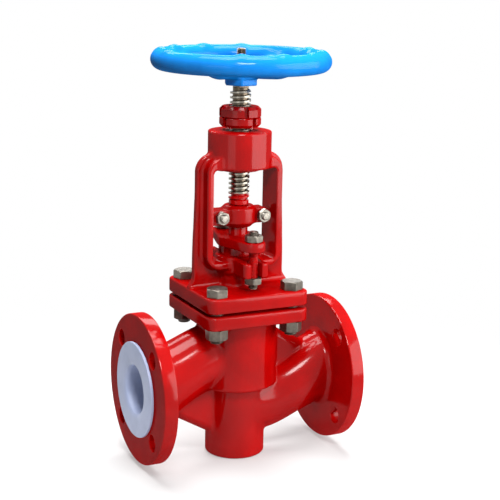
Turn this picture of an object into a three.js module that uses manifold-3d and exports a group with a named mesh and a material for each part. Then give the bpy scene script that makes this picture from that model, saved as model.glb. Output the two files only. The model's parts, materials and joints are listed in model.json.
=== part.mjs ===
// Lined globe valve with an outside screw, a rising handwheel and two pipe flanges.
// Millimetres, +Z up. The origin is the centre of the foot's underside, on the stem axis.
// The pipe axis runs along X. The inlet flange is at +X, the outlet flange at -X.

import * as THREE from 'three';
import { mergeVertices } from 'three/addons/utils/BufferGeometryUtils.js';
import Module from 'manifold-3d';

// Clearances
const seatGap = 0.3;
const runningGap = 0.3;
const threadGap = 0.5;
const boltHoleGap = 0.75;
const pinGap = 0.1;

// How far a cutting tool or a joined piece runs past the face that it meets
const past = 1;

// Pipe line and flanges
const pipeHeight = 84;
const faceToFace = 230;
const flangeRadius = 80;
const flangeThickness = 15;
const flangeHubFillet = 5;
const flangeEdge = 1;
const boltCircleRadius = 62.5;
const flangeHoleRadius = 9;
const flangeHoleCount = 4;
const boreRadius = 25;
const boreEntryRound = 4;
const linerWall = 3.5;
const linerFaceRadius = 50.6;
const linerProud = 3;

// Body casting
const neckSideWall = 5.2;
const neckTopWall = 11.2;
const passageRise = 28;
const bendStartInset = 9;
const bendEndX = 25;
const passageHalfHeight = 22.5;
const passageHalfWidth = 26;
const passageSideWall = 5;
const passageTopWall = 12.5;
const webHalf = 11;
const webTipInset = 12;
const webTipDrop = 4;
const webTipHalfHeight = 23;
const barrelWall = 8.5;
const barrelBase = 6;
const barrelRound = 4;
const barrelFillet = 5;
const footRadius = 32.2;
const footRound = 2;
const seatPortRadius = 24;
const seatWebHalf = 5.5;
const seatLipWidth = 3;
const seatLipHeight = 1.5;
const chamberRadius = 34.5;

// The closed end of a passage is half an ellipsoid, drawn in rings up to this turn
const closedEndTurn = (75 * Math.PI) / 180;
const closedEndSteps = 4;

// Square plates that join body and bonnet
const plateHalfSide = 57.8;
const plateCorner = 10;
const bodyPlateTop = 85.25;
const bodyPlateThickness = 14.3;
const plateSpacing = 3.25;
const bonnetPlateThickness = 15.8;
const plateChamfer = 1.2;
const linerRecess = 2;
const linerRimRadius = 46;
const bonnetBoltInset = 14.8;
const bonnetBoltRadius = 7;
const bonnetBoltAcross = 21;
const bonnetBoltHead = 8.8;
const bonnetNutHeight = 12;
const bonnetBoltTail = 4;

// Stuffing box, packing and gland
const stemRadius = 10;
const packingRadius = 18;
const packingRingHeight = 5.2;
const packingRingCount = 4;
const baseRingHeight = 2.7;
const boxFloorRise = 8.5;
const boxRadius = 24;
const boxWaistRadius = 21;
const boxWaistHeight = 12.7;
const boxHeight = 32.7;
const boxFootRound = 4;
const boxRimSlope = 3;
const bonnetThroatRadius = 14;
const followerShow = 10.3;
const glandFlangeThickness = 10;
const glandFlangeCentreRadius = 23;
const glandFlangeEndRadius = 12;
const glandBoltOffset = 38;
const glandBoltRadius = 5;
const glandNutAcross = 17;
const glandNutHeight = 7;
const glandStudUpperTail = 3.9;
const glandStudLowerTail = 5.2;
const lugHalfWidth = 14;
const lugReach = 47;
const lugRise = 15.7;
const lugThickness = 15.5;
const lugSlotHalf = 6;

// Yoke
const windowHalfWidth = 36.1;
const windowHeight = 98.7;
const windowDrop = 5.5;
const windowCorner = 7;
const stripThickness = 6.9;
const stripHalfDepth = 17.5;
const stripCorner = 17;
const stripInHead = 11.8;
const ribReach = 50;
const ribHalfDepth = 4;
const ribInHead = 15.3;
const ribCorner = 19;
const ribFootReach = 56;
const ribFootHeight = 12;
const headRadius = 33.3;
const headHeight = 38.4;
const headChamfer = 1.5;
const ribFootSlope = 3;
const yokeNutRadius = 17;
const yokeNutFlangeRadius = 21;
const yokeNutFlangeThickness = 3;
const setScrewRadius = 3;
const setScrewSunk = 0.8;

// Screw and its thread
const threadRadius = 11;
const threadRootRadius = 8.25;
const threadPitch = 5;
const threadCrestWidth = 1.8;
const threadRootWidth = 3.3;
const threadStepsPerTurn = 10;
const threadStart = 1;
const threadShow = 19.5;
const screwNeckRadius = 7.5;
const squareHalf = 6.4;
const studRadius = 5;
const studReach = 21;
const lockNutRadius = 21.8;
const lockNutHeight = 10;
const upperLockNutHeight = 11.3;
const lockNutStandoff = 3.8;
const lockNutChamfer = 3;
const lockNutSlotHalf = 2.6;
const lockNutSlotDepth = 3.6;
const lowerSlotTurn = 17;
const upperSlotTurn = -8;

// Valve disc, lower stem and the split clamp
const liftTravel = 15;
const discRadius = 26;
const discThickness = 9;
const discHubRadius = 14;
const discEdge = 2;
const discHubHeight = 22.9;
const discSocketRise = 4.9;
const stemSpigotRadius = 8;
const discPinRadius = 2;
const discPinShort = 0.5;
const discPinRise = 15.9;
const backSeatRadius = 14;
const backSeatHeight = 6;
const clampRadius = 18;
const clampRise = 9.7;
const clampHeight = 23;
const clampChamfer = 5;
const clampShoulder = 3;
const clampLowerLip = 4.7;
const clampUpperLip = 5.4;
const stemNeckRadius = 7;
const stemHeadThickness = 5;
const thrustWasherThickness = 1.8;
const thrustWasherRadius = 9.3;
const earInset = 3.5;
const earHalfDepth = 9;
const earReachRight = 29.5;
const clampBoltOffset = 24;
const clampBoltRadius = 4;
const clampNutAcross = 13;
const clampNutHeight = 6;
const clampBoltTail = 3;

// Handwheel
const wheelRadius = 93.35;
const rimTubeRadius = 10.5;
const rimRise = 25.5;
const wheelTurn = 34.4;
const spokeCount = 4;
const spokeHalfWidth = 10;
const spokeHalfThickness = 5.4;
const spokeRootThickness = 6.2;
const spokeRise = 13.7;
const spokeBendStart = 45;
const hubStandoff = 1.8;
const hubHexHeight = 6.7;
const hubRoundHeight = 10;
const hubHexAcross = 32;
const hubRadius = 18;
const gripCount = 12;
const gripLift = 2;
const gripHalfLength = 8;
const gripHalfWidth = 6;
const gripInset = 1.5;
const gripRise = 0.5;
const hubEdge = 2;
const hubHexTurn = 8;
const spokeBury = 4;
const wheelWasherRadius = 11;
const wheelWasherThickness = 2;
const wheelNutAcross = 17;
const wheelNutHeight = 8;

// Hexagon corners are drawn in by this share of the width across flats
const hexSides = 6;
const hexChamfer = 0.06;

// End chamfers of bolts, studs and set screws
const endChamfer = 0.8;

// Facets
const fineSides = 24;
const flangeSides = 32;
const neckSides = 16;
const webSides = 12;
const boreSides = 14;
const passageSteps = 5;
const roundSides = 20;
const smallSides = 10;
const rimSteps = 36;
const rimSides = 10;
const spokeSides = 8;

// Places worked out from the values above, with heights measured from the pipe axis
const bodyPlateBase = bodyPlateTop - bodyPlateThickness;
const bonnetBase = bodyPlateTop + plateSpacing;
const bonnetTop = bonnetBase + bonnetPlateThickness;
const bonnetBoltOffset = plateHalfSide - bonnetBoltInset;
const linerSplit = bodyPlateTop + plateSpacing / 2;
const flangeFace = faceToFace / 2;
const flangeBack = flangeFace - flangeThickness;
const bendStartX = flangeFace - bendStartInset;
const webTipX = flangeBack - webTipInset;
const castBoreRadius = boreRadius + linerWall + seatGap;
const neckHalfWidth = castBoreRadius + neckSideWall;
const neckHalfHeight = castBoreRadius + neckTopWall;
const outerHalfWidth = passageHalfWidth + passageSideWall;
const outerHalfHeight = passageHalfHeight + passageTopWall;
const barrelRadius = chamberRadius + barrelWall;
const linerBack = seatGap + linerWall;
const seatTop = seatWebHalf + linerBack + seatLipHeight;
const discBase = seatTop + seatGap;
const discHubTop = discBase + discHubHeight;
const discSocketFloor = discBase + discSocketRise;
const discPinHeight = discBase + discPinRise;
const boxFloor = bonnetBase + boxFloorRise;
const boxWaistTop = bonnetTop + boxWaistHeight;
const boxTop = bonnetTop + boxHeight;
const packingInner = stemRadius + runningGap;
const packingOuter = packingRadius - runningGap;
const packingFloor = boxFloor + baseRingHeight + 2 * seatGap;
const packingTop = packingFloor + packingRingCount * (packingRingHeight + seatGap);
const glandFlangeBase = boxTop + followerShow;
const glandFlangeTop = glandFlangeBase + glandFlangeThickness;
const lugBase = bonnetTop + lugRise;
const lugTop = lugBase + lugThickness;
const clampBase = glandFlangeTop + clampRise;
const clampTop = clampBase + clampHeight;
const clampHoldBase = clampBase + clampLowerLip;
const clampHoldTop = clampTop - clampUpperLip;
const earBase = clampBase + earInset;
const earTop = clampTop - earInset;
const thrustWasherBase = clampHoldBase + stemHeadThickness + 2 * seatGap;
const screwHeadBase = thrustWasherBase + thrustWasherThickness + runningGap;
const windowBase = boxTop - windowDrop;
const headBase = windowBase + windowHeight;
const headTop = headBase + headHeight;
const stripTop = headBase + stripInHead;
const ribTop = headBase + ribInHead;
const lockNutBase = headTop + lockNutStandoff;
const lockNutSplit = lockNutBase + lockNutHeight;
const upperLockNutBase = lockNutSplit + seatGap;
const upperLockNutTop = upperLockNutBase + upperLockNutHeight;
const threadBase = clampTop + threadStart;
const threadTop = upperLockNutTop + threadShow;
const hubBase = threadTop + hubStandoff;
const hubHexTop = hubBase + hubHexHeight;
const hubTop = hubHexTop + hubRoundHeight;
const studTop = hubTop + studReach;
const spokeHubHeight = hubBase + spokeRise;
const rimHeight = hubBase + rimRise;
const rimRadius = wheelRadius - rimTubeRadius;

const wasm = await Module();
wasm.setup();

// A closed three.js geometry as a solid. Faces are turned outwards first where they point in.
function solid(geometry) {
  const bare = geometry.index ? geometry.toNonIndexed() : geometry.clone();
  for (const key of Object.keys(bare.attributes)) {
    if (key !== 'position') bare.deleteAttribute(key);
  }
  const merged = mergeVertices(bare, 1e-4);
  const points = merged.attributes.position;
  const corners = Array.from(merged.index.array);
  const faces = [];
  let volume = 0;
  const [a, b, c] = [new THREE.Vector3(), new THREE.Vector3(), new THREE.Vector3()];
  for (let i = 0; i < corners.length; i += 3) {
    const [p, q, r] = corners.slice(i, i + 3);
    if (p === q || q === r || r === p) continue;
    a.fromBufferAttribute(points, p);
    b.fromBufferAttribute(points, q);
    c.fromBufferAttribute(points, r);
    volume += a.dot(b.cross(c));
    faces.push([p, q, r]);
  }
  const outward = faces.flatMap(([p, q, r]) => (volume < 0 ? [p, r, q] : [p, q, r]));
  const triVerts = new Uint32Array(outward);
  const vertProperties = new Float32Array(points.array);
  return new wasm.Manifold(new wasm.Mesh({ numProp: 3, vertProperties, triVerts }));
}

function geometryOf(body) {
  const mesh = body.getMesh();
  const geometry = new THREE.BufferGeometry();
  const positions = new Float32Array(mesh.vertProperties);
  geometry.setAttribute('position', new THREE.BufferAttribute(positions, 3));
  geometry.setIndex(new THREE.BufferAttribute(new Uint32Array(mesh.triVerts), 1));
  geometry.computeVertexNormals();
  return geometry;
}

function join(...bodies) {
  return bodies.reduce((sum, body) => sum.add(body));
}

function cut(body, ...tools) {
  return tools.reduce((rest, tool) => rest.subtract(tool), body);
}

// A profile of radius and height points turned about the Z axis
function turned(profile, sides = roundSides) {
  const points = profile.map((p) => (p.isVector2 ? p : new THREE.Vector2(...p)));
  const geometry = new THREE.LatheGeometry(points, sides);
  geometry.rotateX(Math.PI / 2);
  return geometry;
}

function rod(radius, low, high, sides = roundSides) {
  return turned([[0, low], [radius, low], [radius, high], [0, high]], sides);
}

// A rod whose end edges carry a chamfer
function chamferedRod(radius, low, high, lowChamfer, highChamfer, sides = roundSides) {
  return turned([
    [0, low],
    [radius - lowChamfer, low],
    [radius, low + lowChamfer],
    [radius, high - highChamfer],
    [radius - highChamfer, high],
    [0, high],
  ], sides);
}

function ring(inner, outer, low, high, sides = roundSides) {
  return cut(solid(rod(outer, low, high, sides)), solid(rod(inner, low - past, high + past, sides)));
}

// Points of a quarter round about (x, y) from one angle to another, in degrees
function arcPoints(x, y, radius, from, to, steps = 3) {
  return Array.from({ length: steps + 1 }, (_, i) => {
    const angle = THREE.MathUtils.degToRad(from + ((to - from) * i) / steps);
    return new THREE.Vector2(x + radius * Math.cos(angle), y + radius * Math.sin(angle));
  });
}

function roundedOutline(left, right, low, high, lowCorner, highCorner) {
  return new THREE.Shape([
    ...arcPoints(right - lowCorner, low + lowCorner, lowCorner, -90, 0),
    ...arcPoints(right - highCorner, high - highCorner, highCorner, 0, 90),
    ...arcPoints(left + highCorner, high - highCorner, highCorner, 90, 180),
    ...arcPoints(left + lowCorner, low + lowCorner, lowCorner, 180, 270),
  ]);
}

function upright(shape, low, high, bevel = 0) {
  const geometry = new THREE.ExtrudeGeometry(shape, {
    depth: high - low - 2 * bevel,
    bevelEnabled: bevel > 0,
    bevelThickness: bevel,
    bevelSize: bevel,
    bevelOffset: -bevel,
    bevelSegments: 1,
    curveSegments: 8,
  });
  geometry.translate(0, 0, low + bevel);
  return geometry;
}

// An outline drawn in X and Z, given its depth along Y about the stem axis
function facing(shape, halfDepth) {
  const geometry = new THREE.ExtrudeGeometry(shape, {
    depth: 2 * halfDepth,
    bevelEnabled: false,
    curveSegments: 8,
  });
  geometry.translate(0, 0, -halfDepth);
  geometry.rotateX(Math.PI / 2);
  return geometry;
}

function block(x0, x1, y0, y1, z0, z1) {
  const geometry = new THREE.BoxGeometry(x1 - x0, y1 - y0, z1 - z0);
  geometry.translate((x0 + x1) / 2, (y0 + y1) / 2, (z0 + z1) / 2);
  return geometry;
}

// A hexagon by its width across flats, with its end edges drawn in
function hexagon(across, low, high, turn = 0) {
  const corner = across / 2 / Math.cos(Math.PI / hexSides);
  const trim = hexChamfer * across;
  const stations = [
    [corner - trim, low],
    [corner, low + trim / 2],
    [corner, high - trim / 2],
    [corner - trim, high],
  ];
  const rings = stations.map(([radius, height]) => Array.from({ length: hexSides }, (_, i) => {
    const angle = turn + (2 * Math.PI * i) / hexSides;
    return new THREE.Vector3(radius * Math.cos(angle), radius * Math.sin(angle), height);
  }));
  return solid(loft(rings));
}

function nut(across, holeRadius, low, high) {
  return cut(hexagon(across, low, high), solid(rod(holeRadius, low - past, high + past, smallSides)));
}

// A loft through rings of points that all have the same count, closed by flat caps
function loft(rings) {
  const count = rings[0].length;
  const total = (loop) => loop.reduce((sum, p) => sum.add(p), new THREE.Vector3());
  const centre = (loop) => total(loop).divideScalar(count);
  const points = [...rings.flat(), centre(rings[0]), centre(rings[rings.length - 1])];
  const index = [];
  for (let i = 0; i < rings.length - 1; i += 1) {
    for (let j = 0; j < count; j += 1) {
      const [a, b] = [i * count + j, i * count + ((j + 1) % count)];
      index.push(a, b, b + count, a, b + count, a + count);
    }
  }
  const last = (rings.length - 1) * count;
  for (let j = 0; j < count; j += 1) {
    const next = (j + 1) % count;
    index.push(points.length - 2, next, j, points.length - 1, last + j, last + next);
  }
  const geometry = new THREE.BufferGeometry().setFromPoints(points);
  geometry.setIndex(index);
  return geometry;
}

// An ellipse standing square to the pipe axis
function pipeRing(x, height, halfWidth, halfHeight, sides) {
  return Array.from({ length: sides }, (_, i) => {
    const angle = (2 * Math.PI * i) / sides;
    return new THREE.Vector3(x, halfWidth * Math.cos(angle), height + halfHeight * Math.sin(angle));
  });
}

// The section of a passage at a distance x from the stem axis: its drop, half width and half height.
// All three change smoothly between the two ends of the bend, from those at the flange to those in
// the middle.
function bendSection(x, end, middle) {
  const ease = 1 - THREE.MathUtils.smoothstep(x, bendEndX, bendStartX);
  return [x, ...end.map((size, i) => THREE.MathUtils.lerp(size, middle[i], ease))];
}

function bendSections(start, end, middle) {
  return Array.from({ length: passageSteps + 1 }, (_, i) => {
    const x = THREE.MathUtils.lerp(start, bendEndX, i / passageSteps);
    return bendSection(x, end, middle);
  });
}

// The inlet passage runs from the +X flange down under the seat, and the outlet passage is the same
// shape turned half round about Y, so side is 1 or -1
function passage(side, sides, sections) {
  const rings = sections.map(([x, drop, halfWidth, halfHeight]) => (
    pipeRing(side * x, -side * drop, halfWidth, halfHeight, sides)
  ));
  return solid(loft(rings));
}

// Outside, each passage flares into its flange with a fillet and ends inside the barrel and the foot
function neck(side) {
  const end = [0, neckHalfWidth, neckHalfHeight];
  const middle = [passageRise, outerHalfWidth, outerHalfHeight];
  const fillet = flangeHubFillet;
  const start = flangeBack - fillet;
  const collar = arcPoints(fillet, start, fillet, 90, 180).map(({ x, y }) => [
    y,
    bendSection(start, end, middle)[1],
    neckHalfWidth + x,
    neckHalfHeight + x,
  ]);
  return passage(side, neckSides, [
    [flangeBack + past, 0, neckHalfWidth + fillet, neckHalfHeight + fillet],
    ...collar,
    ...bendSections(start, end, middle),
    [0, ...middle],
  ]);
}

// A web runs on from a neck's middle, past the stem axis, and tapers into the other neck. Its
// section has straight sides between a half round top and bottom.
function web(side) {
  const rings = [
    [bendEndX, passageRise, outerHalfHeight],
    [webTipX, webTipDrop, webTipHalfHeight],
  ].map(([x, drop, halfHeight]) => Array.from({ length: webSides }, (_, i) => {
    const angle = (2 * Math.PI * (i + 0.5)) / webSides;
    const rise = Math.sign(Math.sin(angle)) * (halfHeight - webHalf) + webHalf * Math.sin(angle);
    return new THREE.Vector3(-side * x, webHalf * Math.cos(angle), rise - side * drop);
  }));
  return solid(loft(rings));
}

function crossRod(radius, x0, x1, sides = fineSides) {
  const geometry = rod(radius, x0, x1, sides);
  geometry.rotateY(Math.PI / 2);
  return solid(geometry);
}

// The whole wetted space inside the casting, drawn in by a wall that is zero for the casting itself
function wettedSpace(wall) {
  const port = castBoreRadius - wall;
  const width = passageHalfWidth - wall;
  const height = passageHalfHeight - wall;
  const reach = chamberRadius - wall;
  const mouth = flangeFace + linerProud + past;
  const end = [0, port, port];
  const sections = [
    [mouth, ...end],
    ...bendSections(bendStartX, end, [passageRise, width, height]),
    ...Array.from({ length: closedEndSteps }, (_, i) => {
      const turn = (closedEndTurn * i) / (closedEndSteps - 1);
      const share = Math.cos(turn);
      return [-width * Math.sin(turn), passageRise, width * share, height * share];
    }),
  ];
  const passages = [1, -1].map((side) => passage(side, boreSides, sections));
  const chamber = solid(rod(reach, seatWebHalf + wall, bonnetBase + past, roundSides));
  const seatPort = solid(rod(seatPortRadius - wall, -passageRise, passageRise, roundSides));
  return join(...passages, chamber, seatPort);
}

function squarePlate(low, high) {
  const side = plateHalfSide;
  const outline = roundedOutline(-side, side, -side, side, plateCorner, plateCorner);
  return solid(upright(outline, low, high, plateChamfer));
}

function bonnetBoltPlaces() {
  const offset = bonnetBoltOffset;
  return [[-1, -1], [1, -1], [1, 1], [-1, 1]].map(([x, y]) => [x * offset, y * offset]);
}

function holesAt(places, radius, low, high) {
  return places.map(([x, y]) => {
    const geometry = rod(radius, low, high, smallSides);
    geometry.translate(x, y, 0);
    return solid(geometry);
  });
}

// A pipe flange square to the pipe axis at one end
function pipeFlange(side) {
  const profile = [
    [0, flangeBack],
    [flangeRadius, flangeBack],
    [flangeRadius, flangeFace - flangeEdge],
    [flangeRadius - flangeEdge, flangeFace],
    [0, flangeFace],
  ];
  const disc = turned(profile, flangeSides);
  disc.rotateY((side * Math.PI) / 2);
  const holes = Array.from({ length: flangeHoleCount }, (_, i) => {
    const angle = (Math.PI * (2 * i + 1)) / flangeHoleCount;
    const hole = rod(flangeHoleRadius, flangeBack - past, flangeFace + past, smallSides);
    hole.translate(boltCircleRadius * Math.cos(angle), boltCircleRadius * Math.sin(angle), 0);
    hole.rotateY((side * Math.PI) / 2);
    return solid(hole);
  });
  return cut(solid(disc), ...holes);
}

function bodyCasting() {
  const barrel = solid(turned([
    [0, -barrelBase],
    ...arcPoints(barrelRadius - barrelRound, barrelRound - barrelBase, barrelRound, -90, 0, 2),
    ...arcPoints(barrelRadius + barrelFillet, bodyPlateBase - barrelFillet, barrelFillet, 180, 90, 2),
    [barrelRadius + barrelFillet, bodyPlateBase + past],
    [0, bodyPlateBase + past],
  ], fineSides));
  const foot = solid(turned([
    [0, -pipeHeight],
    ...arcPoints(footRadius - footRound, footRound - pipeHeight, footRound, -90, 0, 2),
    [footRadius, past - barrelBase],
    [0, past - barrelBase],
  ], fineSides));
  const plate = squarePlate(bodyPlateBase, bodyPlateTop);
  const sides = [1, -1].flatMap((side) => [neck(side), web(side), pipeFlange(side)]);
  const shape = join(...sides, barrel, foot, plate);
  const rim = linerRimRadius + seatGap;
  const recess = solid(rod(rim, bodyPlateTop - linerRecess, bodyPlateTop + past, fineSides));
  const holeRadius = bonnetBoltRadius + boltHoleGap;
  const holes = holesAt(bonnetBoltPlaces(), holeRadius, bodyPlateBase - past, bodyPlateTop + past);
  const nutRadius = bonnetBoltAcross / 2 / Math.cos(Math.PI / hexSides) + seatGap;
  const nutLow = bodyPlateBase - 2 * seatGap - bonnetNutHeight;
  const nutSeats = holesAt(bonnetBoltPlaces(), nutRadius, nutLow, bodyPlateBase);
  return cut(shape, wettedSpace(0), recess, ...holes, ...nutSeats);
}

// The fluoroplastic lining fills the casting and turns over at the three faces
function bodyLiner() {
  const back = flangeFace + seatGap;
  const face = flangeFace + linerProud;
  const rimBase = bodyPlateTop - linerRecess + seatGap;
  const within = solid(block(-back, back, -flangeRadius, flangeRadius, -pipeHeight, linerSplit));
  const outer = join(
    wettedSpace(seatGap).intersect(within),
    crossRod(linerFaceRadius, back, face),
    crossRod(linerFaceRadius, -face, -back),
    solid(rod(linerRimRadius, rimBase, linerSplit - seatGap / 2, fineSides)),
  );
  const round = boreEntryRound;
  const entry = [1, -1].map((side) => {
    const mouth = turned([
      [0, face - round],
      ...arcPoints(boreRadius + round, face - round, round, 180, 90),
      [boreRadius + round, face + past],
      [0, face + past],
    ], boreSides);
    mouth.rotateY((side * Math.PI) / 2);
    return solid(mouth);
  });
  const seatInner = seatPortRadius - linerBack;
  const lipBase = seatWebHalf + linerBack - past;
  const lip = ring(seatInner, seatInner + seatLipWidth, lipBase, seatTop, roundSides);
  const open = solid(rod(chamberRadius - linerBack, seatTop, linerSplit + past, fineSides));
  return join(cut(outer, wettedSpace(linerBack), open, ...entry), lip);
}

// Bonnet plate, stuffing box and yoke are one casting
function bonnetYoke() {
  const reach = windowHalfWidth + stripThickness;
  const stripLow = windowBase - stripThickness;
  const strip = solid(facing(
    roundedOutline(-reach, reach, stripLow, stripTop, windowCorner + stripThickness, stripCorner),
    stripHalfDepth,
  ));
  const ribShape = new THREE.Shape([
    new THREE.Vector2(-ribFootReach, bonnetTop - past),
    new THREE.Vector2(ribFootReach, bonnetTop - past),
    new THREE.Vector2(ribFootReach - ribFootSlope, bonnetTop + ribFootHeight / 3),
    new THREE.Vector2(ribReach, bonnetTop + ribFootHeight),
    ...arcPoints(ribReach - ribCorner, ribTop - ribCorner, ribCorner, 0, 90, 5),
    ...arcPoints(-ribReach + ribCorner, ribTop - ribCorner, ribCorner, 90, 180, 5),
    new THREE.Vector2(-ribReach, bonnetTop + ribFootHeight),
    new THREE.Vector2(ribFootSlope - ribFootReach, bonnetTop + ribFootHeight / 3),
  ]);
  const rib = solid(facing(ribShape, ribHalfDepth));
  const windowShape = roundedOutline(
    -windowHalfWidth, windowHalfWidth, windowBase, headBase, windowCorner, windowCorner,
  );
  const window = solid(facing(windowShape, stripHalfDepth + past));
  const edge = headChamfer;
  const head = solid(chamferedRod(headRadius, headBase, headTop, edge, edge, fineSides));
  const box = solid(turned([
    [0, bonnetTop - past],
    [boxWaistRadius + boxFootRound, bonnetTop - past],
    ...arcPoints(boxWaistRadius + boxFootRound, bonnetTop + boxFootRound, boxFootRound, 270, 180, 2),
    [boxWaistRadius, boxWaistTop],
    [boxRadius, boxWaistTop + boxRimSlope],
    [boxRadius, boxTop - endChamfer],
    [boxRadius - endChamfer, boxTop],
    [0, boxTop],
  ], fineSides));
  const plate = squarePlate(bonnetBase, bonnetTop);
  const lugs = [1, -1].map((side) => {
    const ends = [side * packingRadius, side * lugReach].sort((a, b) => a - b);
    const lug = solid(block(-lugHalfWidth, lugHalfWidth, ends[0], ends[1], lugBase, lugTop));
    const slotEnds = [side * glandBoltOffset, side * (lugReach + past)].sort((a, b) => a - b);
    const [slotLow, slotHigh] = [lugBase - past, lugTop + past];
    const slot = solid(block(-lugSlotHalf, lugSlotHalf, slotEnds[0], slotEnds[1], slotLow, slotHigh));
    const end = rod(lugSlotHalf, slotLow, slotHigh, smallSides);
    end.translate(0, side * glandBoltOffset, 0);
    return cut(lug, slot, solid(end));
  });
  const frame = cut(join(strip, rib), window);
  const shape = join(plate, box, ...lugs, frame, head);
  const cavity = solid(turned([
    [0, bonnetBase - past],
    [linerRimRadius + seatGap, bonnetBase - past],
    [linerRimRadius + seatGap, bonnetBase + linerRecess],
    [bonnetThroatRadius, bonnetBase + linerRecess],
    [bonnetThroatRadius, boxFloor],
    [packingRadius, boxFloor],
    [packingRadius, boxTop + past],
    [0, boxTop + past],
  ], fineSides));
  const nutBore = solid(rod(yokeNutRadius, headBase - past, headTop + past, roundSides));
  const screwHole = rod(setScrewRadius + seatGap, 0, headRadius + past, smallSides);
  screwHole.rotateX(-Math.PI / 2);
  screwHole.translate(0, 0, (headBase + headTop) / 2);
  const holeRadius = bonnetBoltRadius + boltHoleGap;
  const holes = holesAt(bonnetBoltPlaces(), holeRadius, bonnetBase - past, bonnetTop + past);
  return cut(shape, cavity, nutBore, solid(screwHole), ...holes);
}

function bonnetLiner() {
  const sleeve = bonnetThroatRadius - seatGap;
  const shape = solid(turned([
    [0, linerSplit + seatGap / 2],
    [linerRimRadius, linerSplit + seatGap / 2],
    [linerRimRadius, bonnetBase + linerRecess - seatGap],
    [sleeve, bonnetBase + linerRecess - seatGap],
    [sleeve, boxFloor],
    [0, boxFloor],
  ], fineSides));
  return cut(shape, solid(rod(stemRadius + runningGap, linerSplit - past, boxFloor + past)));
}

function bonnetBolt() {
  const seat = bonnetTop + seatGap;
  const tail = bodyPlateBase - seatGap - bonnetNutHeight - bonnetBoltTail;
  return join(
    hexagon(bonnetBoltAcross, seat, seat + bonnetBoltHead),
    solid(chamferedRod(bonnetBoltRadius, tail, seat + past, endChamfer, 0, smallSides)),
  );
}

function bonnetNut() {
  const top = bodyPlateBase - seatGap;
  return nut(bonnetBoltAcross, bonnetBoltRadius + threadGap, top - bonnetNutHeight, top);
}

function packingRing(index) {
  const low = packingFloor + index * (packingRingHeight + seatGap);
  return ring(packingInner, packingOuter, low, low + packingRingHeight);
}

function glandFlange() {
  const spread = glandBoltOffset;
  const lean = Math.asin((glandFlangeCentreRadius - glandFlangeEndRadius) / spread);
  const tilt = THREE.MathUtils.radToDeg(lean);
  const outline = new THREE.Shape([
    ...arcPoints(0, spread, glandFlangeEndRadius, tilt, 180 - tilt, 8),
    ...arcPoints(0, 0, glandFlangeCentreRadius, 180 - tilt, 180 + tilt, 4),
    ...arcPoints(0, -spread, glandFlangeEndRadius, 180 + tilt, 360 - tilt, 8),
    ...arcPoints(0, 0, glandFlangeCentreRadius, -tilt, tilt, 4),
  ]);
  const places = [[0, spread], [0, -spread]];
  return cut(
    solid(upright(outline, glandFlangeBase, glandFlangeTop, plateChamfer)),
    solid(rod(stemRadius + runningGap, glandFlangeBase - past, glandFlangeTop + past)),
    ...holesAt(places, glandBoltRadius + seatGap, glandFlangeBase - past, glandFlangeTop + past),
  );
}

// A screwed rod in one closed surface. Each step holds two root corners and two crest corners.
// The ridge fades in and out over a quarter turn, and plain core runs on to both ends.
// A nut's cutting tool is larger by a radial gap and by a gap on each flank.
function threadedRod(low, high, start, turns, radialGap = 0, flankGap = 0) {
  const perTurn = threadStepsPerTurn;
  const steps = turns * perTurn;
  const fade = perTurn / 4;
  const root = threadRootRadius + radialGap;
  const points = [];
  const ringPoint = (step, radius, height) => {
    const angle = (2 * Math.PI * step) / perTurn;
    points.push(new THREE.Vector3(radius * Math.cos(angle), radius * Math.sin(angle), height));
  };
  for (let i = 0; i <= steps; i += 1) {
    const grown = Math.min(1, (i + 0.4) / fade, (steps - i + 0.4) / fade);
    const crest = THREE.MathUtils.lerp(threadRootRadius, threadRadius, grown) + radialGap;
    const height = start + (threadPitch * i) / perTurn;
    ringPoint(i, root, height - threadRootWidth / 2 - flankGap);
    ringPoint(i, crest, height - threadCrestWidth / 2 - flankGap);
    ringPoint(i, crest, height + threadCrestWidth / 2 + flankGap);
    ringPoint(i, root, height + threadRootWidth / 2 + flankGap);
  }
  const bottom = points.length;
  for (let i = 0; i < perTurn; i += 1) ringPoint(i, root, low);
  const top = points.length;
  for (let i = 0; i < perTurn; i += 1) ringPoint(i, root, high);
  points.push(new THREE.Vector3(0, 0, low), new THREE.Vector3(0, 0, high));
  const index = [];
  const fan = (...loop) => {
    for (let i = 1; i < loop.length - 1; i += 1) index.push(loop[0], loop[i], loop[i + 1]);
  };
  const corner = (step, place) => step * 4 + place;
  for (let i = 0; i < steps; i += 1) {
    for (let place = 0; place < 3; place += 1) {
      fan(corner(i, place), corner(i + 1, place), corner(i + 1, place + 1), corner(i, place + 1));
    }
    const above = i + perTurn;
    if (above < steps) fan(corner(i, 3), corner(i + 1, 3), corner(above + 1, 0), corner(above, 0));
  }
  for (let i = 0; i < perTurn; i += 1) {
    const next = (i + 1) % perTurn;
    const upper = steps - perTurn + i;
    const first = i + 1 === perTurn ? [corner(0, 0), corner(0, 3)] : [];
    const last = i === 0 ? [corner(steps, 3), corner(steps, 0)] : [];
    fan(bottom + i, bottom + next, ...first, corner(i + 1, 0), corner(i, 0));
    fan(top + next, top + i, ...last, corner(upper, 3), corner(upper + 1, 3));
    fan(points.length - 2, bottom + next, bottom + i);
    fan(points.length - 1, top + i, top + next);
  }
  fan(corner(0, 0), corner(0, 1), corner(0, 2), corner(0, 3));
  fan(corner(steps, 3), corner(steps, 2), corner(steps, 1), corner(steps, 0));
  const geometry = new THREE.BufferGeometry().setFromPoints(points);
  geometry.setIndex(index);
  return solid(geometry);
}

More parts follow.
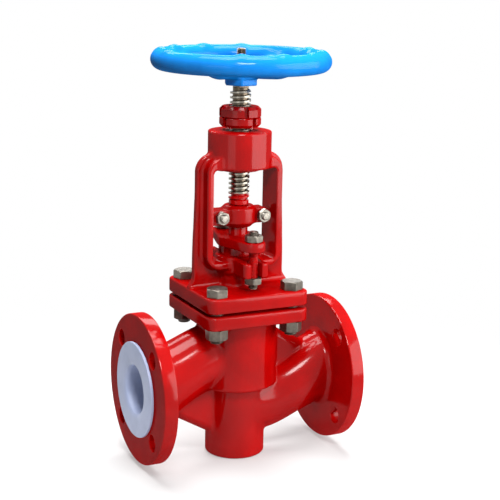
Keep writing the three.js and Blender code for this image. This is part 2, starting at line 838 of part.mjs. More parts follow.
// The same helix, a clearance larger, cuts every nut that the screw passes through.
// It starts a whole number of turns from the screw's own thread, so the two stay in mesh.
// Its flat facets lie nearer the axis than their corners, and the radial gap makes up for that.
function threadTool(low, high) {
  const turnsBelow = Math.floor((low - threadBase - threadRootWidth) / threadPitch) - 1;
  const start = threadBase + threadRootWidth + turnsBelow * threadPitch;
  const turns = Math.ceil((high - start) / threadPitch) + 1;
  const radialGap = threadRadius / Math.cos(Math.PI / threadStepsPerTurn) - threadRadius + seatGap / 2;
  const [toolLow, toolHigh] = [start - threadPitch, start + (turns + 1) * threadPitch];
  return threadedRod(toolLow, toolHigh, start, turns, radialGap, threadGap);
}

function stemScrew() {
  const holdTop = clampHoldTop - runningGap;
  const collar = solid(turned([
    [0, screwHeadBase],
    [stemRadius, screwHeadBase],
    [stemRadius, holdTop],
    [screwNeckRadius, holdTop],
    [screwNeckRadius, threadBase + past],
    [0, threadBase + past],
  ], roundSides));
  const start = threadBase + threadRootWidth;
  const turns = Math.floor((threadTop - threadRootWidth - start) / threadPitch);
  const thread = threadedRod(threadBase, threadTop, start, turns);
  const side = squareHalf;
  const square = solid(block(-side, side, -side, side, threadTop - past, hubTop - seatGap));
  const studBase = hubTop - seatGap - past;
  const stud = solid(chamferedRod(studRadius, studBase, studTop, 0, endChamfer, smallSides));
  return join(collar, thread, square, stud);
}

function yokeNut() {
  const low = headBase - seatGap - yokeNutFlangeThickness;
  const high = headTop - seatGap;
  const blank = join(
    solid(rod(yokeNutRadius - seatGap, low, high, roundSides)),
    solid(rod(yokeNutFlangeRadius, low, headBase - seatGap, roundSides)),
  );
  return cut(blank, threadTool(low, high));
}

function lockNut(low, high, turn, lowChamfer, highChamfer) {
  const blank = solid(chamferedRod(lockNutRadius, low, high, lowChamfer, highChamfer, fineSides));
  const half = lockNutSlotHalf;
  const slots = [0, 90, 180, 270].map((angle) => {
    const floor = lockNutRadius - lockNutSlotDepth;
    const slot = block(floor, lockNutRadius + past, -half, half, low - past, high + past);
    slot.rotateZ(THREE.MathUtils.degToRad(angle + turn));
    return solid(slot);
  });
  return cut(blank, threadTool(low, high), ...slots);
}

function setScrew() {
  const [low, high] = [yokeNutRadius + seatGap, headRadius - setScrewSunk];
  const geometry = chamferedRod(setScrewRadius, low, high, endChamfer, endChamfer, smallSides);
  geometry.rotateX(-Math.PI / 2);
  geometry.translate(0, 0, (headBase + headTop) / 2);
  return solid(geometry);
}

function discPinTool(radius, reach) {
  const pin = rod(radius, -reach, reach, smallSides);
  pin.rotateX(Math.PI / 2);
  pin.translate(0, 0, discPinHeight);
  return solid(pin);
}

function valveDisc() {
  const top = discBase + discThickness;
  const shape = solid(turned([
    [0, discBase],
    [discRadius - discEdge, discBase],
    [discRadius, discBase + discEdge],
    [discRadius, top - endChamfer],
    [discRadius - endChamfer, top],
    ...arcPoints(discHubRadius + discEdge, top + discEdge, discEdge, 270, 180, 2),
    [discHubRadius, discHubTop - endChamfer],
    [discHubRadius - endChamfer, discHubTop],
    [0, discHubTop],
  ], fineSides));
  const socket = solid(rod(stemSpigotRadius + seatGap, discSocketFloor, discHubTop + past));
  return cut(shape, socket, discPinTool(discPinRadius + pinGap, discHubRadius + past));
}

function lowerStem() {
  const spigotBase = discSocketFloor + seatGap;
  const shoulder = discHubTop + seatGap;
  const backSeatTop = linerSplit + seatGap / 2 - liftTravel - seatGap;
  const shape = solid(turned([
    [0, spigotBase],
    [stemSpigotRadius, spigotBase],
    [stemSpigotRadius, shoulder],
    [stemRadius, shoulder],
    [stemRadius, backSeatTop - backSeatHeight],
    [backSeatRadius, backSeatTop - backSeatHeight / 2],
    [backSeatRadius, backSeatTop],
    [stemRadius, backSeatTop],
    [stemRadius, clampBase - runningGap],
    [stemNeckRadius, clampBase - runningGap],
    [stemNeckRadius, clampHoldBase + seatGap],
    [stemRadius, clampHoldBase + seatGap],
    [stemRadius, clampHoldBase + seatGap + stemHeadThickness],
    [0, clampHoldBase + seatGap + stemHeadThickness],
  ], roundSides));
  return cut(shape, discPinTool(discPinRadius + pinGap, stemSpigotRadius + past));
}

function thrustWasher() {
  const low = thrustWasherBase;
  return solid(rod(thrustWasherRadius, low, low + thrustWasherThickness, roundSides));
}

// One half of the split clamp. The left ear reaches the yoke leg and keeps the stem from turning.
function clampHalf(side) {
  const earReachLeft = windowHalfWidth - 2 * runningGap;
  const barrel = solid(chamferedRod(clampRadius, clampBase, clampTop, clampChamfer, clampShoulder));
  const depth = earHalfDepth;
  const ears = solid(block(-earReachLeft, earReachRight, -depth, depth, earBase, earTop));
  const cavity = solid(turned([
    [0, clampBase - past],
    [stemNeckRadius + seatGap, clampBase - past],
    [stemNeckRadius + seatGap, clampHoldBase],
    [stemRadius + runningGap, clampHoldBase],
    [stemRadius + runningGap, clampHoldTop],
    [screwNeckRadius + runningGap, clampHoldTop],
    [screwNeckRadius + runningGap, clampTop + past],
    [0, clampTop + past],
  ], roundSides));
  const bolts = [-1, 1].map((end) => {
    const hole = rod(clampBoltRadius + seatGap, -clampRadius, clampRadius, smallSides);
    hole.rotateX(Math.PI / 2);
    hole.translate(end * clampBoltOffset, 0, (earBase + earTop) / 2);
    return solid(hole);
  });
  const split = [(side * seatGap) / 2, side * (clampRadius + past)].sort((a, b) => a - b);
  const reach = earReachLeft + past;
  const keep = solid(block(-reach, reach, split[0], split[1], clampBase - past, clampTop + past));
  return cut(join(barrel, ears), cavity, ...bolts).intersect(keep);
}

// Clamp bolts lie along Y: heads behind, nuts in front
function alongY(body, end) {
  const geometry = geometryOf(body);
  geometry.rotateX(Math.PI / 2);
  geometry.translate(end * clampBoltOffset, 0, (earBase + earTop) / 2);
  return geometry;
}

function clampBolt(end) {
  const face = earHalfDepth + seatGap;
  const tip = face + clampNutHeight + clampBoltTail;
  const head = hexagon(clampNutAcross, -face - clampNutHeight, -face);
  const shank = solid(chamferedRod(clampBoltRadius, -face - past, tip, 0, endChamfer, smallSides));
  return alongY(join(head, shank), end);
}

function clampNut(end) {
  const face = earHalfDepth + seatGap;
  return alongY(nut(clampNutAcross, clampBoltRadius + threadGap, face, face + clampNutHeight), end);
}

function handwheel() {
  const rim = new THREE.TorusGeometry(rimRadius, rimTubeRadius, rimSides, rimSteps);
  rim.translate(0, 0, rimHeight);
  const spokes = Array.from({ length: spokeCount }, (_, i) => {
    const { lerp } = THREE.MathUtils;
    const bend = [0, 1, 2, 3, 4].map((step) => lerp(spokeBendStart, rimRadius, step / 4));
    const rings = [hubRadius - spokeBury, ...bend].map((radius) => {
      const rise = THREE.MathUtils.smoothstep(radius, spokeBendStart, rimRadius);
      const height = THREE.MathUtils.lerp(spokeHubHeight, rimHeight, rise);
      const thickness = radius < hubRadius ? spokeRootThickness : spokeHalfThickness;
      return Array.from({ length: spokeSides }, (__, j) => {
        const angle = (2 * Math.PI * j) / spokeSides;
        const across = spokeHalfWidth * Math.cos(angle);
        return new THREE.Vector3(radius, across, height + thickness * Math.sin(angle));
      });
    });
    const spoke = loft(rings);
    spoke.rotateZ(THREE.MathUtils.degToRad(wheelTurn + (360 / spokeCount) * i));
    return solid(spoke);
  });
  // Grips follow the rim at equal steps and leave out the pair over the first and third spoke
  const grips = Array.from({ length: gripCount }, (_, i) => i)
    .filter((i) => i % (gripCount / 2) !== 0)
    .map((i) => {
      const grip = new THREE.SphereGeometry(1, 6, 4);
      const rise = rimTubeRadius * gripRise;
      grip.scale(gripHalfWidth, gripHalfLength, rise + gripLift);
      grip.translate(rimRadius - gripInset, 0, rimHeight + rise);
      grip.rotateZ(THREE.MathUtils.degToRad(wheelTurn + (360 / gripCount) * i));
      return solid(grip);
    });
  const hub = join(
    hexagon(hubHexAcross, hubBase, hubHexTop + past, THREE.MathUtils.degToRad(hubHexTurn)),
    solid(chamferedRod(hubRadius, hubHexTop, hubTop, endChamfer, hubEdge, roundSides)),
  );
  const side = squareHalf + seatGap;
  const square = solid(block(-side, side, -side, side, hubBase - past, hubTop + past));
  return cut(join(solid(rim), hub, ...spokes, ...grips), square);
}

function wheelWasher() {
  const low = hubTop + seatGap;
  return ring(studRadius + seatGap, wheelWasherRadius, low, low + wheelWasherThickness, smallSides);
}

function wheelNut() {
  const low = hubTop + wheelWasherThickness + 2 * seatGap;
  return nut(wheelNutAcross, studRadius + threadGap, low, low + wheelNutHeight);
}

function finish(color, roughness, metalness) {
  return () => new THREE.MeshStandardMaterial({ color, roughness, metalness });
}

const redEnamel = finish(0xb81412, 0.28, 0.0);
const blueEnamel = finish(0x1f86e0, 0.25, 0.0);
const whiteLining = finish(0xdfe5f0, 0.45, 0.0);
const brightSteel = finish(0xb9b6ae, 0.3, 1.0);
const darkSteel = finish(0x6f6b62, 0.42, 1.0);
const bronze = finish(0xa8793a, 0.4, 1.0);
const packing = finish(0xe8e4d8, 0.7, 0.0);

const valve = new THREE.Group();
const pipeLevel = new THREE.Group();
pipeLevel.position.z = pipeHeight;
valve.add(pipeLevel);

function add(name, shape, material, x = 0, y = 0) {
  const geometry = shape.isBufferGeometry ? shape : geometryOf(shape);
  const mesh = new THREE.Mesh(geometry, material());
  mesh.name = name;
  mesh.position.set(x, y, 0);
  pipeLevel.add(mesh);
}

add('body_casting', bodyCasting(), redEnamel);
add('body_liner', bodyLiner(), whiteLining);
add('bonnet_yoke', bonnetYoke(), redEnamel);
add('bonnet_liner', bonnetLiner(), whiteLining);
bonnetBoltPlaces().forEach(([x, y], i) => {
  add(`bonnet_bolt_${i + 1}`, bonnetBolt(), darkSteel, x, y);
  add(`bonnet_nut_${i + 1}`, bonnetNut(), darkSteel, x, y);
});

const baseRing = ring(packingInner, packingOuter, boxFloor + seatGap, packingFloor - seatGap);
add('packing_base_ring', baseRing, brightSteel);
for (let i = 0; i < packingRingCount; i += 1) {
  add(`packing_ring_${i + 1}`, packingRing(i), packing);
}
const follower = ring(packingInner, packingOuter, packingTop, glandFlangeBase - seatGap);
add('gland_follower', follower, redEnamel);
add('gland_flange', glandFlange(), redEnamel);
[['front', -1], ['rear', 1]].forEach(([place, side]) => {
  const y = side * glandBoltOffset;
  const [radius, end] = [glandBoltRadius, endChamfer];
  const hole = radius + threadGap;
  const upperBase = glandFlangeTop + seatGap;
  const upperTop = upperBase + glandNutHeight;
  const upper = nut(glandNutAcross, hole, upperBase, upperTop);
  const lowerTop = lugBase - seatGap;
  const lowerBase = lowerTop - glandNutHeight;
  const lower = nut(glandNutAcross, hole, lowerBase, lowerTop);
  const [studBase, studEnd] = [lowerBase - glandStudLowerTail, upperTop + glandStudUpperTail];
  const stud = chamferedRod(radius, studBase, studEnd, end, end, smallSides);
  add(`gland_stud_${place}`, solid(stud), darkSteel, 0, y);
  add(`gland_nut_${place}`, upper, darkSteel, 0, y);
  add(`gland_lower_nut_${place}`, lower, darkSteel, 0, y);
});

add('valve_disc', valveDisc(), whiteLining);
add('disc_pin', discPinTool(discPinRadius, discHubRadius - discPinShort), brightSteel);
add('lower_stem', lowerStem(), redEnamel);
add('thrust_washer', thrustWasher(), bronze);
add('clamp_front_half', clampHalf(-1), redEnamel);
add('clamp_rear_half', clampHalf(1), redEnamel);
[['left', -1], ['right', 1]].forEach(([place, end]) => {
  add(`clamp_bolt_${place}`, clampBolt(end), brightSteel);
  add(`clamp_nut_${place}`, clampNut(end), brightSteel);
});

add('stem_screw', stemScrew(), brightSteel);
add('yoke_nut', yokeNut(), redEnamel);
add('yoke_nut_set_screw', setScrew(), darkSteel);
const [edge, shoulder] = [endChamfer, lockNutChamfer];
const lowerNut = lockNut(lockNutBase, lockNutSplit, lowerSlotTurn, shoulder, edge);
const upperNut = lockNut(upperLockNutBase, upperLockNutTop, upperSlotTurn, edge, shoulder);
add('lock_nut_lower', lowerNut, redEnamel);
add('lock_nut_upper', upperNut, redEnamel);
add('handwheel', handwheel(), blueEnamel);
add('handwheel_washer', wheelWasher(), brightSteel);
add('handwheel_nut', wheelNut(), brightSteel);

export default valve;
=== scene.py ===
import json
import math

import bpy
import numpy as np
from mathutils import Matrix, Vector

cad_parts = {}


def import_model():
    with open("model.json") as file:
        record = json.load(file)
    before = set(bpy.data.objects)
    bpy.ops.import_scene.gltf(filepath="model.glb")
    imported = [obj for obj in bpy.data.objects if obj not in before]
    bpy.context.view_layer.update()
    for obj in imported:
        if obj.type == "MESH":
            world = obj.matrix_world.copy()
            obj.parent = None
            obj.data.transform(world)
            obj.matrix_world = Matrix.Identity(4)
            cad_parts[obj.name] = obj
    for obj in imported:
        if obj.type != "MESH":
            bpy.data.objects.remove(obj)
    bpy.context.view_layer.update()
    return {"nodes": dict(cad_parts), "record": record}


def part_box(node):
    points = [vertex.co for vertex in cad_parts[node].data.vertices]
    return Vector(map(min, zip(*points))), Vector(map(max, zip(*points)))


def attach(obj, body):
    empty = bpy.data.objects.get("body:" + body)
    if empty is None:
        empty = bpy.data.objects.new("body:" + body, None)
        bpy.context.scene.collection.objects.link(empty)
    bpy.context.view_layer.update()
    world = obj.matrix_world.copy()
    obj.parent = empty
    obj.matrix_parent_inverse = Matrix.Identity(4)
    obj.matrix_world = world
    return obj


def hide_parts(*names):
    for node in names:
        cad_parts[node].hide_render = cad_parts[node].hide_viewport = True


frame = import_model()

# The looks of the lined globe valve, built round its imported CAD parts. Lengths here are
# millimetres, and piece() puts them into the scene in metres. The pipe axis runs along X, the
# stem along Z, and the photograph is taken from -Y and a little from -X.

# Sizes read from the frame


def span(node):
    """The lowest and the highest corner of a CAD node, in millimetres."""
    low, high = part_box(node)
    return np.array(low) * 1000, np.array(high) * 1000


CASTING_HIGH = span("body_casting")[1]
YOKE_LOW, YOKE_HIGH = span("bonnet_yoke")
MOUNTS = {mount["name"]: mount for mount in frame["record"]["mounts"]}
PIPE_HEIGHT = MOUNTS["inlet_face"]["pos_m"][2] * 1000

FLANGE_FACE = CASTING_HIGH[0]
FLANGE_RADIUS = CASTING_HIGH[1]
FLANGE_BACK = MOUNTS["inlet_flange_back"]["pos_m"][0] * 1000
LINER_FACE = span("body_liner")[1][0]
PLATE_TOP = CASTING_HIGH[2]
BONNET_BASE = YOKE_LOW[2]
HEAD_TOP = YOKE_HIGH[2]
WHEEL_RADIUS = span("handwheel")[1][1]

# Sizes that the part's source sets

GAP = 0.3
BORE_RADIUS = 25
LINER_WALL = 3.5
CAST_BORE = BORE_RADIUS + LINER_WALL + GAP
LINER_RIM = 50.6
BOLT_CIRCLE = 62.5
FLANGE_HOLE = 9

BEND_START = 106
BEND_END = 25
PASSAGE_RISE = 28
PASSAGE_HALVES = (26, 22.5)
NECK_HALVES_AT_FLANGE = (34, 40)
NECK_HALVES_AT_SEAT = (31, 35)
WEB_TIP = 88
WEB_HALF = 11
BARREL_RADIUS = 43
BARREL_BASE = PIPE_HEIGHT - 6
FOOT_RADIUS = 32.2
CHAMBER_RADIUS = 34.5
SEAT_RADIUS = 24
SEAT_WEB = 5.5

PLATE_SIDE = 57.8
PLATE_CORNER = 10
PLATE_BASE = PLATE_TOP - 14.3
PLATE_EDGE = 2.2
BONNET_TOP = BONNET_BASE + 15.8
BOLT_OFFSET = 43
BOLT_RADIUS = 7
BOLT_HEX = 21
BOLT_HEAD = 8.8
BOLT_TAIL = 4
NUT_HEIGHT = 12

BOX_WAIST = 21
BOX_RADIUS = 24
BOX_TOP = PIPE_HEIGHT + 137
BOX_FLOOR = PIPE_HEIGHT + 97
WAIST_TOP = PIPE_HEIGHT + 118.5
PACKING_RADIUS = 18
THROAT_RADIUS = 14
LUG_BASE = PIPE_HEIGHT + 120
LUG_TOP = PIPE_HEIGHT + 135.5
GLAND_OFFSET = 38
GLAND_CENTRE = 23
GLAND_END = 12
STUD_RADIUS = 5
STUD_PITCH = 1.5
STUD_HEX = 17

WINDOW_HALF = 36.1
WINDOW_BASE = PIPE_HEIGHT + 131.5
WINDOW_TOP = PIPE_HEIGHT + 230.2
STRIP_DEPTH = 17.5
STRIP_THICKNESS = 6.9
STRIP_TOP = PIPE_HEIGHT + 242
RIB_TOP = PIPE_HEIGHT + 245.5
RIB_REACH = 49.6
HEAD_RADIUS = 33.3
YOKE_NUT_RADIUS = 17
YOKE_NUT_FLANGE = 21

STEM_RADIUS = 10
CLAMP_BASE = PIPE_HEIGHT + 167
CLAMP_TOP = PIPE_HEIGHT + 190
EAR_BASE = PIPE_HEIGHT + 170.5
EAR_TOP = PIPE_HEIGHT + 186.5
EAR_MIDDLE = (EAR_BASE + EAR_TOP) / 2
EAR_DEPTH = 9
CLAMP_RADIUS = 18
CLAMP_BOLT = 24
CLAMP_BOLT_RADIUS = 4
CLAMP_HEX = 13

THREAD_PITCH = 5
THREAD_RADIUS = 11
THREAD_ROOT = 8.25
THREAD_GAP = 0.5
THREAD_BASE = PIPE_HEIGHT + 191
THREAD_TOP = PIPE_HEIGHT + 313.5

RIM_TUBE = 10.5
RIM_RADIUS = WHEEL_RADIUS - RIM_TUBE
RIM_HEIGHT = PIPE_HEIGHT + 340.8
SPOKE_TURN = 34.4
HUB_BASE = PIPE_HEIGHT + 315.3
HUB_HEX_TOP = PIPE_HEIGHT + 322
HUB_TOP = PIPE_HEIGHT + 332
SPOKE_HEIGHT = PIPE_HEIGHT + 329
SQUARE_HALF = 6.4
WASHER_RADIUS = 11

# Where a fillet meets a plate's face it lies this far under it, and its body runs on this far
# into the plate
SUNK = 0.1
OVERLAP = 6

# Edges that turn by more than this stay sharp
SHARP_ANGLE = math.radians(26)


class Shape:
    """Points in millimetres, and faces as arrays of point numbers, one array per corner count."""

    def __init__(self, points, faces):
        self.points = np.asarray(points, float)
        self.faces = faces

    def moved(self, x=0.0, y=0.0, z=0.0):
        """The same shape, shifted along each axis."""
        return Shape(self.points + (x, y, z), self.faces)

    def turned(self, axis, degrees):
        """The same shape, turned about an axis through the origin."""
        matrix = np.array(Matrix.Rotation(math.radians(degrees), 3, axis))
        return Shape(self.points @ matrix.T, self.faces)

    def __add__(self, other):
        """Both shapes as one: the second one's point numbers follow the first one's."""
        start = len(self.points)
        faces = list(self.faces) + [face + start for face in other.faces]
        return Shape(np.concatenate([self.points, other.points]), faces)

    def volume(self):
        """Six times the volume: the sum over each face's fan of corners of their triple product."""
        total = 0.0
        for face in self.faces:
            corner = self.points[face]
            first, second, third = corner[:, :1], corner[:, 1:-1], corner[:, 2:]
            total += np.einsum("ijk,ijk->", np.cross(first, second), third)
        return total

    def outward(self):
        """The same surface with its faces turned outwards."""
        if self.volume() >= 0:
            return self
        return Shape(self.points, [face[:, ::-1] for face in self.faces])


def skin(rings, capped):
    """A closed surface on a grid of points: each ring closes on itself, and the first and the
    last ring either carry a flat cap each or are joined to each other."""
    rings = np.asarray(rings, float)
    rows, around = rings.shape[:2]
    index = np.arange(rows * around).reshape(rows, around)
    upper = index[1:] if capped else np.roll(index, -1, 0)
    lower = index[: len(upper)]
    quads = np.stack([lower, np.roll(lower, -1, 1), np.roll(upper, -1, 1), upper], -1)
    faces = [quads.reshape(-1, 4)]
    if capped:
        faces += [index[:1, ::-1], index[-1:]]
    return Shape(rings.reshape(-1, 3), faces).outward()


def softened(corners, radius, steps=4):
    """A closed outline whose corners give way to curves: from one side to the next, each runs on
    the parabola that leaves the sides at the given distance from the corner."""
    corners = np.asarray(corners, float)
    before = np.roll(corners, 1, 0) - corners
    after = np.roll(corners, -1, 0) - corners
    lengths = [np.linalg.norm(side, axis=1) for side in (before, after)]
    reach = np.minimum(radius, 0.499 * np.minimum(*lengths))
    start = corners + before * (reach / lengths[0])[:, None]
    end = corners + after * (reach / lengths[1])[:, None]
    share = np.linspace(0, 1, steps + 1)[None, :, None]
    curve = start[:, None] * (1 - share) ** 2
    curve = curve + corners[:, None] * 2 * share * (1 - share) + end[:, None] * share ** 2
    points = curve.reshape(-1, 2)
    apart = np.linalg.norm(points - np.roll(points, 1, 0), axis=1) > 1e-4
    return points[apart]


def lathe(corners, radius=0.0, angles=96, limit=None):
    """A profile of (radius, height) corners, softened and turned about Z. Where limit is given,
    it maps an angle to the greatest radius there, so a prism or slots cut the round shape."""
    outline = softened(corners, radius)
    solid = outline[:, 0].min() < 1e-6
    if solid:
        first = np.flatnonzero(outline[:, 0] < 1e-6)[-1] + 1
        outline = np.roll(outline, -first, 0)
        outline = outline[outline[:, 0] > 1e-6]
    if np.isscalar(angles):
        angles = np.linspace(0, 2 * np.pi, angles, endpoint=False)
    reach = outline[:, :1] * np.ones_like(angles)
    if limit is not None:
        reach = np.minimum(reach, limit(angles))
    height = outline[:, 1:] * np.ones_like(angles)
    rings = np.stack([reach * np.cos(angles), reach * np.sin(angles), height], -1)
    return skin(rings, capped=solid)


def ring_profile(inner, outer, low, high):
    """The profile of a plain ring, or of a rod where the inner radius is 0."""
    return [(inner, low), (outer, low), (outer, high), (inner, high)]


def hexagon_limit(across, turn):
    """The radius of a hexagon at an angle: half its width across flats over the cosine of the
    angle to the nearest flat's middle, with the corners a little rounded."""
    def limit(angles):
        from_flat = np.mod(angles - turn, np.pi / 3) - np.pi / 6
        radius = across / 2 / np.cos(from_flat)
        return np.minimum(radius, across / math.sqrt(3) * 0.985)
    return limit


def hexagon(across, low, high, hole=0.0, turn=0.0, both=True):
    """A nut or a bolt head: a cone of 30 degrees at its ends, cut by the hexagon."""
    flat = across / 2 * 0.96
    corner = across / math.sqrt(3)
    fall = (corner - flat) * math.tan(math.radians(30))
    cone = np.linspace(0, 1, 9)
    reach = flat + (corner - flat) * cone
    top = np.stack([reach, high - fall * cone], -1)
    bottom = np.stack([reach, low + fall * cone], -1) if both else [[corner, low]]
    bevel = 0.6
    start = [[hole, low + bevel], [hole + bevel, low]]
    end = [[hole + bevel, high], [hole, high - bevel]]
    if not hole:
        start, end = [[0, low]], [[0, high]]
    corners = np.concatenate([start, bottom, top[::-1], end])
    angles = np.linspace(0, 2 * np.pi, 96, endpoint=False) + turn
    return lathe(corners, 0.0, angles, hexagon_limit(across, turn))


def square_outline(half, corner, steps=8):
    """A square with round corners: each corner's quarter circle about its own centre."""
    angle = np.linspace(0, np.pi / 2, steps + 1)
    arc = np.stack([np.cos(angle), np.sin(angle)], -1) * corner
    quarters = []
    for quarter in range(4):
        turn = np.array(Matrix.Rotation(math.radians(90 * quarter), 2))
        quarters.append((arc + half - corner) @ turn.T)
    return np.concatenate(quarters)


def level_rings(loops):
    """Outlines with a height each, as rings of points."""
    return [np.column_stack([outline, np.full(len(outline), height)]) for outline, height in loops]


def pierced_plate(outline, low, high, hole, edge, steps):
    """A plate with rounded edges and a round hole: rings run from the hole's lower edge out along
    the underside, round the rim and back in, and each ring keeps its points' angles. The outline
    is a function of how far it is drawn in."""
    angle = np.linspace(0, np.pi / 2, steps)
    lower = [(outline(edge * (1 - np.sin(a))), low + edge * (1 - np.cos(a))) for a in angle]
    upper = [(points, low + high - height) for points, height in reversed(lower)]
    rim = lower[0][0]
    circle = rim / np.linalg.norm(rim, axis=1)[:, None] * hole
    return skin(level_rings([(circle, low), *lower, *upper, (circle, high)]), capped=False)


def square_plate(low, high, hole):
    """One of the two square plates that the bonnet bolts join."""
    def outline(inset):
        return square_outline(PLATE_SIDE - inset, PLATE_CORNER - inset)
    return pierced_plate(outline, low, high, hole, PLATE_EDGE, 5)


def screwed_rod(radius, low, high, pitch, depth, around=28, rows_per_turn=8):
    """A rod with a fine thread: its radius dips by a raised cosine of height less the helix's
    rise, and fades out at both ends, where the rod narrows by a small chamfer."""
    rows = int((high - low) / pitch * rows_per_turn) + 1
    height = np.linspace(low, high, rows)[:, None]
    angle = np.linspace(0, 2 * np.pi, around, endpoint=False)[None, :]
    phase = 2 * np.pi * height / pitch - angle
    end = np.minimum(height - low, high - height)
    dip = depth * (0.5 - 0.5 * np.cos(phase)) ** 0.8
    reach = radius - dip - np.clip(depth * 1.2 - end, 0, None)
    points = np.stack([reach * np.cos(angle), reach * np.sin(angle), height + 0 * angle], -1)
    return skin(points, capped=True)


def joined(a, b, radius):
    """The union of two distances, with a round fillet of the given radius in the corner."""
    inner = np.maximum(radius - a, 0) ** 2 + np.maximum(radius - b, 0) ** 2
    return np.maximum(radius, np.minimum(a, b)) - np.sqrt(inner)


def trimmed(a, b, radius=0.0):
    """What two distances share, with its edge rounded to the given radius."""
    outer = np.maximum(radius + a, 0) ** 2 + np.maximum(radius + b, 0) ** 2
    return np.minimum(-radius, np.maximum(a, b)) + np.sqrt(outer)


def eased(value, start, end):
    """The smooth step from 0 to 1 between two values: three squares less two cubes."""
    share = np.clip((value - start) / (end - start), 0, 1)
    return share * share * (3 - 2 * share)


def rounded_box(u, v, half_u, half_v, corner):
    """The distance to a rectangle with round corners."""
    over_u, over_v = np.abs(u) - half_u + corner, np.abs(v) - half_v + corner
    outside = np.sqrt(np.maximum(over_u, 0) ** 2 + np.maximum(over_v, 0) ** 2)
    return outside + np.minimum(np.maximum(over_u, over_v), 0) - corner


def field_surface(distance, low, high, step, passes=4):
    """The zero level of a distance as a closed surface of quads. Each grid cell that the level
    passes holds one point, at the mean of its crossings with the cell's edges, drawn onto the
    level along the gradient, and each crossed grid edge gives the quad of the cells round it."""
    low = np.array(low, float)
    counts = np.ceil((np.array(high, float) - low) / step).astype(int) + 1
    axes = [low[i] + step * np.arange(counts[i]) for i in range(3)]
    x, y, z = np.meshgrid(*axes, indexing="ij", sparse=True)
    value = np.broadcast_to(distance(x, y, z), counts)
    inside = value < 0
    offsets = np.array([[i, j, k] for i in (0, 1) for j in (0, 1) for k in (0, 1)])
    ends = [slice(0, -1), slice(1, None)]
    held = sum(inside[ends[i], ends[j], ends[k]].astype(np.int8) for i, j, k in offsets)
    active = (held > 0) & (held < 8)
    cell = np.argwhere(active)
    number = np.full(active.shape, -1)
    number[active] = np.arange(len(cell))
    corner = np.stack([value[tuple((cell + offset).T)] for offset in offsets], -1)
    total, crossings = np.zeros((len(cell), 3)), np.zeros((len(cell), 1))
    for a in range(8):
        for b in range(a + 1, 8):
            if np.abs(offsets[a] - offsets[b]).sum() != 1:
                continue
            crossed = ((corner[:, a] < 0) != (corner[:, b] < 0))[:, None]
            share = corner[:, a] / np.where(crossed[:, 0], corner[:, a] - corner[:, b], 1)
            point = offsets[a] + share[:, None] * (offsets[b] - offsets[a])
            total += np.where(crossed, point, 0)
            crossings += crossed
    points = low + step * (cell + total / crossings)
    nudge = 0.02
    for _ in range(passes):
        here = distance(*points.T)
        slope = np.stack([
            (distance(*(points + shift).T) - distance(*(points - shift).T)) / (2 * nudge)
            for shift in np.eye(3) * nudge
        ], -1)
        stretch = np.maximum((slope ** 2).sum(-1), 0.3)
        points -= slope * np.clip(here / stretch, -step / 2, step / 2)[:, None]
    quads = []
    units = np.eye(3, dtype=int)
    for axis in range(3):
        start = inside.take(np.arange(counts[axis] - 1), axis)
        end = inside.take(np.arange(1, counts[axis]), axis)
        edge = np.argwhere(start != end)
        b, c = (axis + 1) % 3, (axis + 2) % 3
        edge = edge[(edge[:, b] > 0) & (edge[:, c] > 0)]
        quad = np.stack([
            number[tuple((edge + i * units[b] + j * units[c]).T)]
            for i, j in ((-1, -1), (0, -1), (0, 0), (-1, 0))
        ], -1)
        outward = start[tuple(edge.T)]
        quads.append(np.where(outward[:, None], quad, quad[:, ::-1]))
    return Shape(points, [np.concatenate(quads)])


def mesh_of(name, shape):
    """A smooth mesh in metres."""
    mesh = bpy.data.meshes.new(name)
    mesh.vertices.add(len(shape.points))
    mesh.vertices.foreach_set("co", (shape.points * 0.001).astype(np.float32).ravel())
    corners = np.concatenate([face.ravel() for face in shape.faces])
    sizes = np.concatenate([np.full(len(face), face.shape[1]) for face in shape.faces])
    mesh.loops.add(len(corners))
    mesh.loops.foreach_set("vertex_index", corners.astype(np.int32))
    mesh.polygons.add(len(sizes))
    starts = np.concatenate([[0], np.cumsum(sizes)[:-1]])
    mesh.polygons.foreach_set("loop_start", starts.astype(np.int32))
    mesh.polygons.foreach_set("use_smooth", np.ones(len(sizes), bool))
    mesh.update(calc_edges=True)
    return mesh


def placed(name, data):
    """An object in the scene for a mesh, a lamp or a camera."""
    made = bpy.data.objects.new(name, data)
    bpy.context.scene.collection.objects.link(made)
    return made


def piece(name, node, shape, body, material):
    """Puts a shape into the scene on a body, in place of its CAD node."""
    mesh = mesh_of(name, shape)
    mesh.set_sharp_from_angle(angle=SHARP_ANGLE)
    mesh.materials.append(material)
    made = placed(name, mesh)
    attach(made, body)
    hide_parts(node)


def carved(shape, tools):
    """A shape with other shapes cut out of it by Blender's exact boolean."""
    objects = [placed("carving", mesh_of("carving", part)) for part in (shape, tools)]
    modifier = objects[0].modifiers.new("cut", "BOOLEAN")
    modifier.object = objects[1]
    modifier.operation = "DIFFERENCE"
    modifier.solver = "EXACT"
    graph = bpy.context.evaluated_depsgraph_get()
    result = bpy.data.meshes.new_from_object(objects[0].evaluated_get(graph))
    points = np.zeros(len(result.vertices) * 3)
    result.vertices.foreach_get("co", points)
    starts = np.zeros(len(result.polygons), int)
    sizes = np.zeros(len(result.polygons), int)
    result.polygons.foreach_get("loop_start", starts)
    result.polygons.foreach_get("loop_total", sizes)
    corners = np.zeros(len(result.loops), int)
    result.loops.foreach_get("vertex_index", corners)
    faces = []
    for size in np.unique(sizes):
        chosen = starts[sizes == size]
        faces.append(corners[chosen[:, None] + np.arange(size)])
    for made in objects:
        bpy.data.objects.remove(made)
    return Shape(points.reshape(-1, 3) * 1000, faces)


# Materials


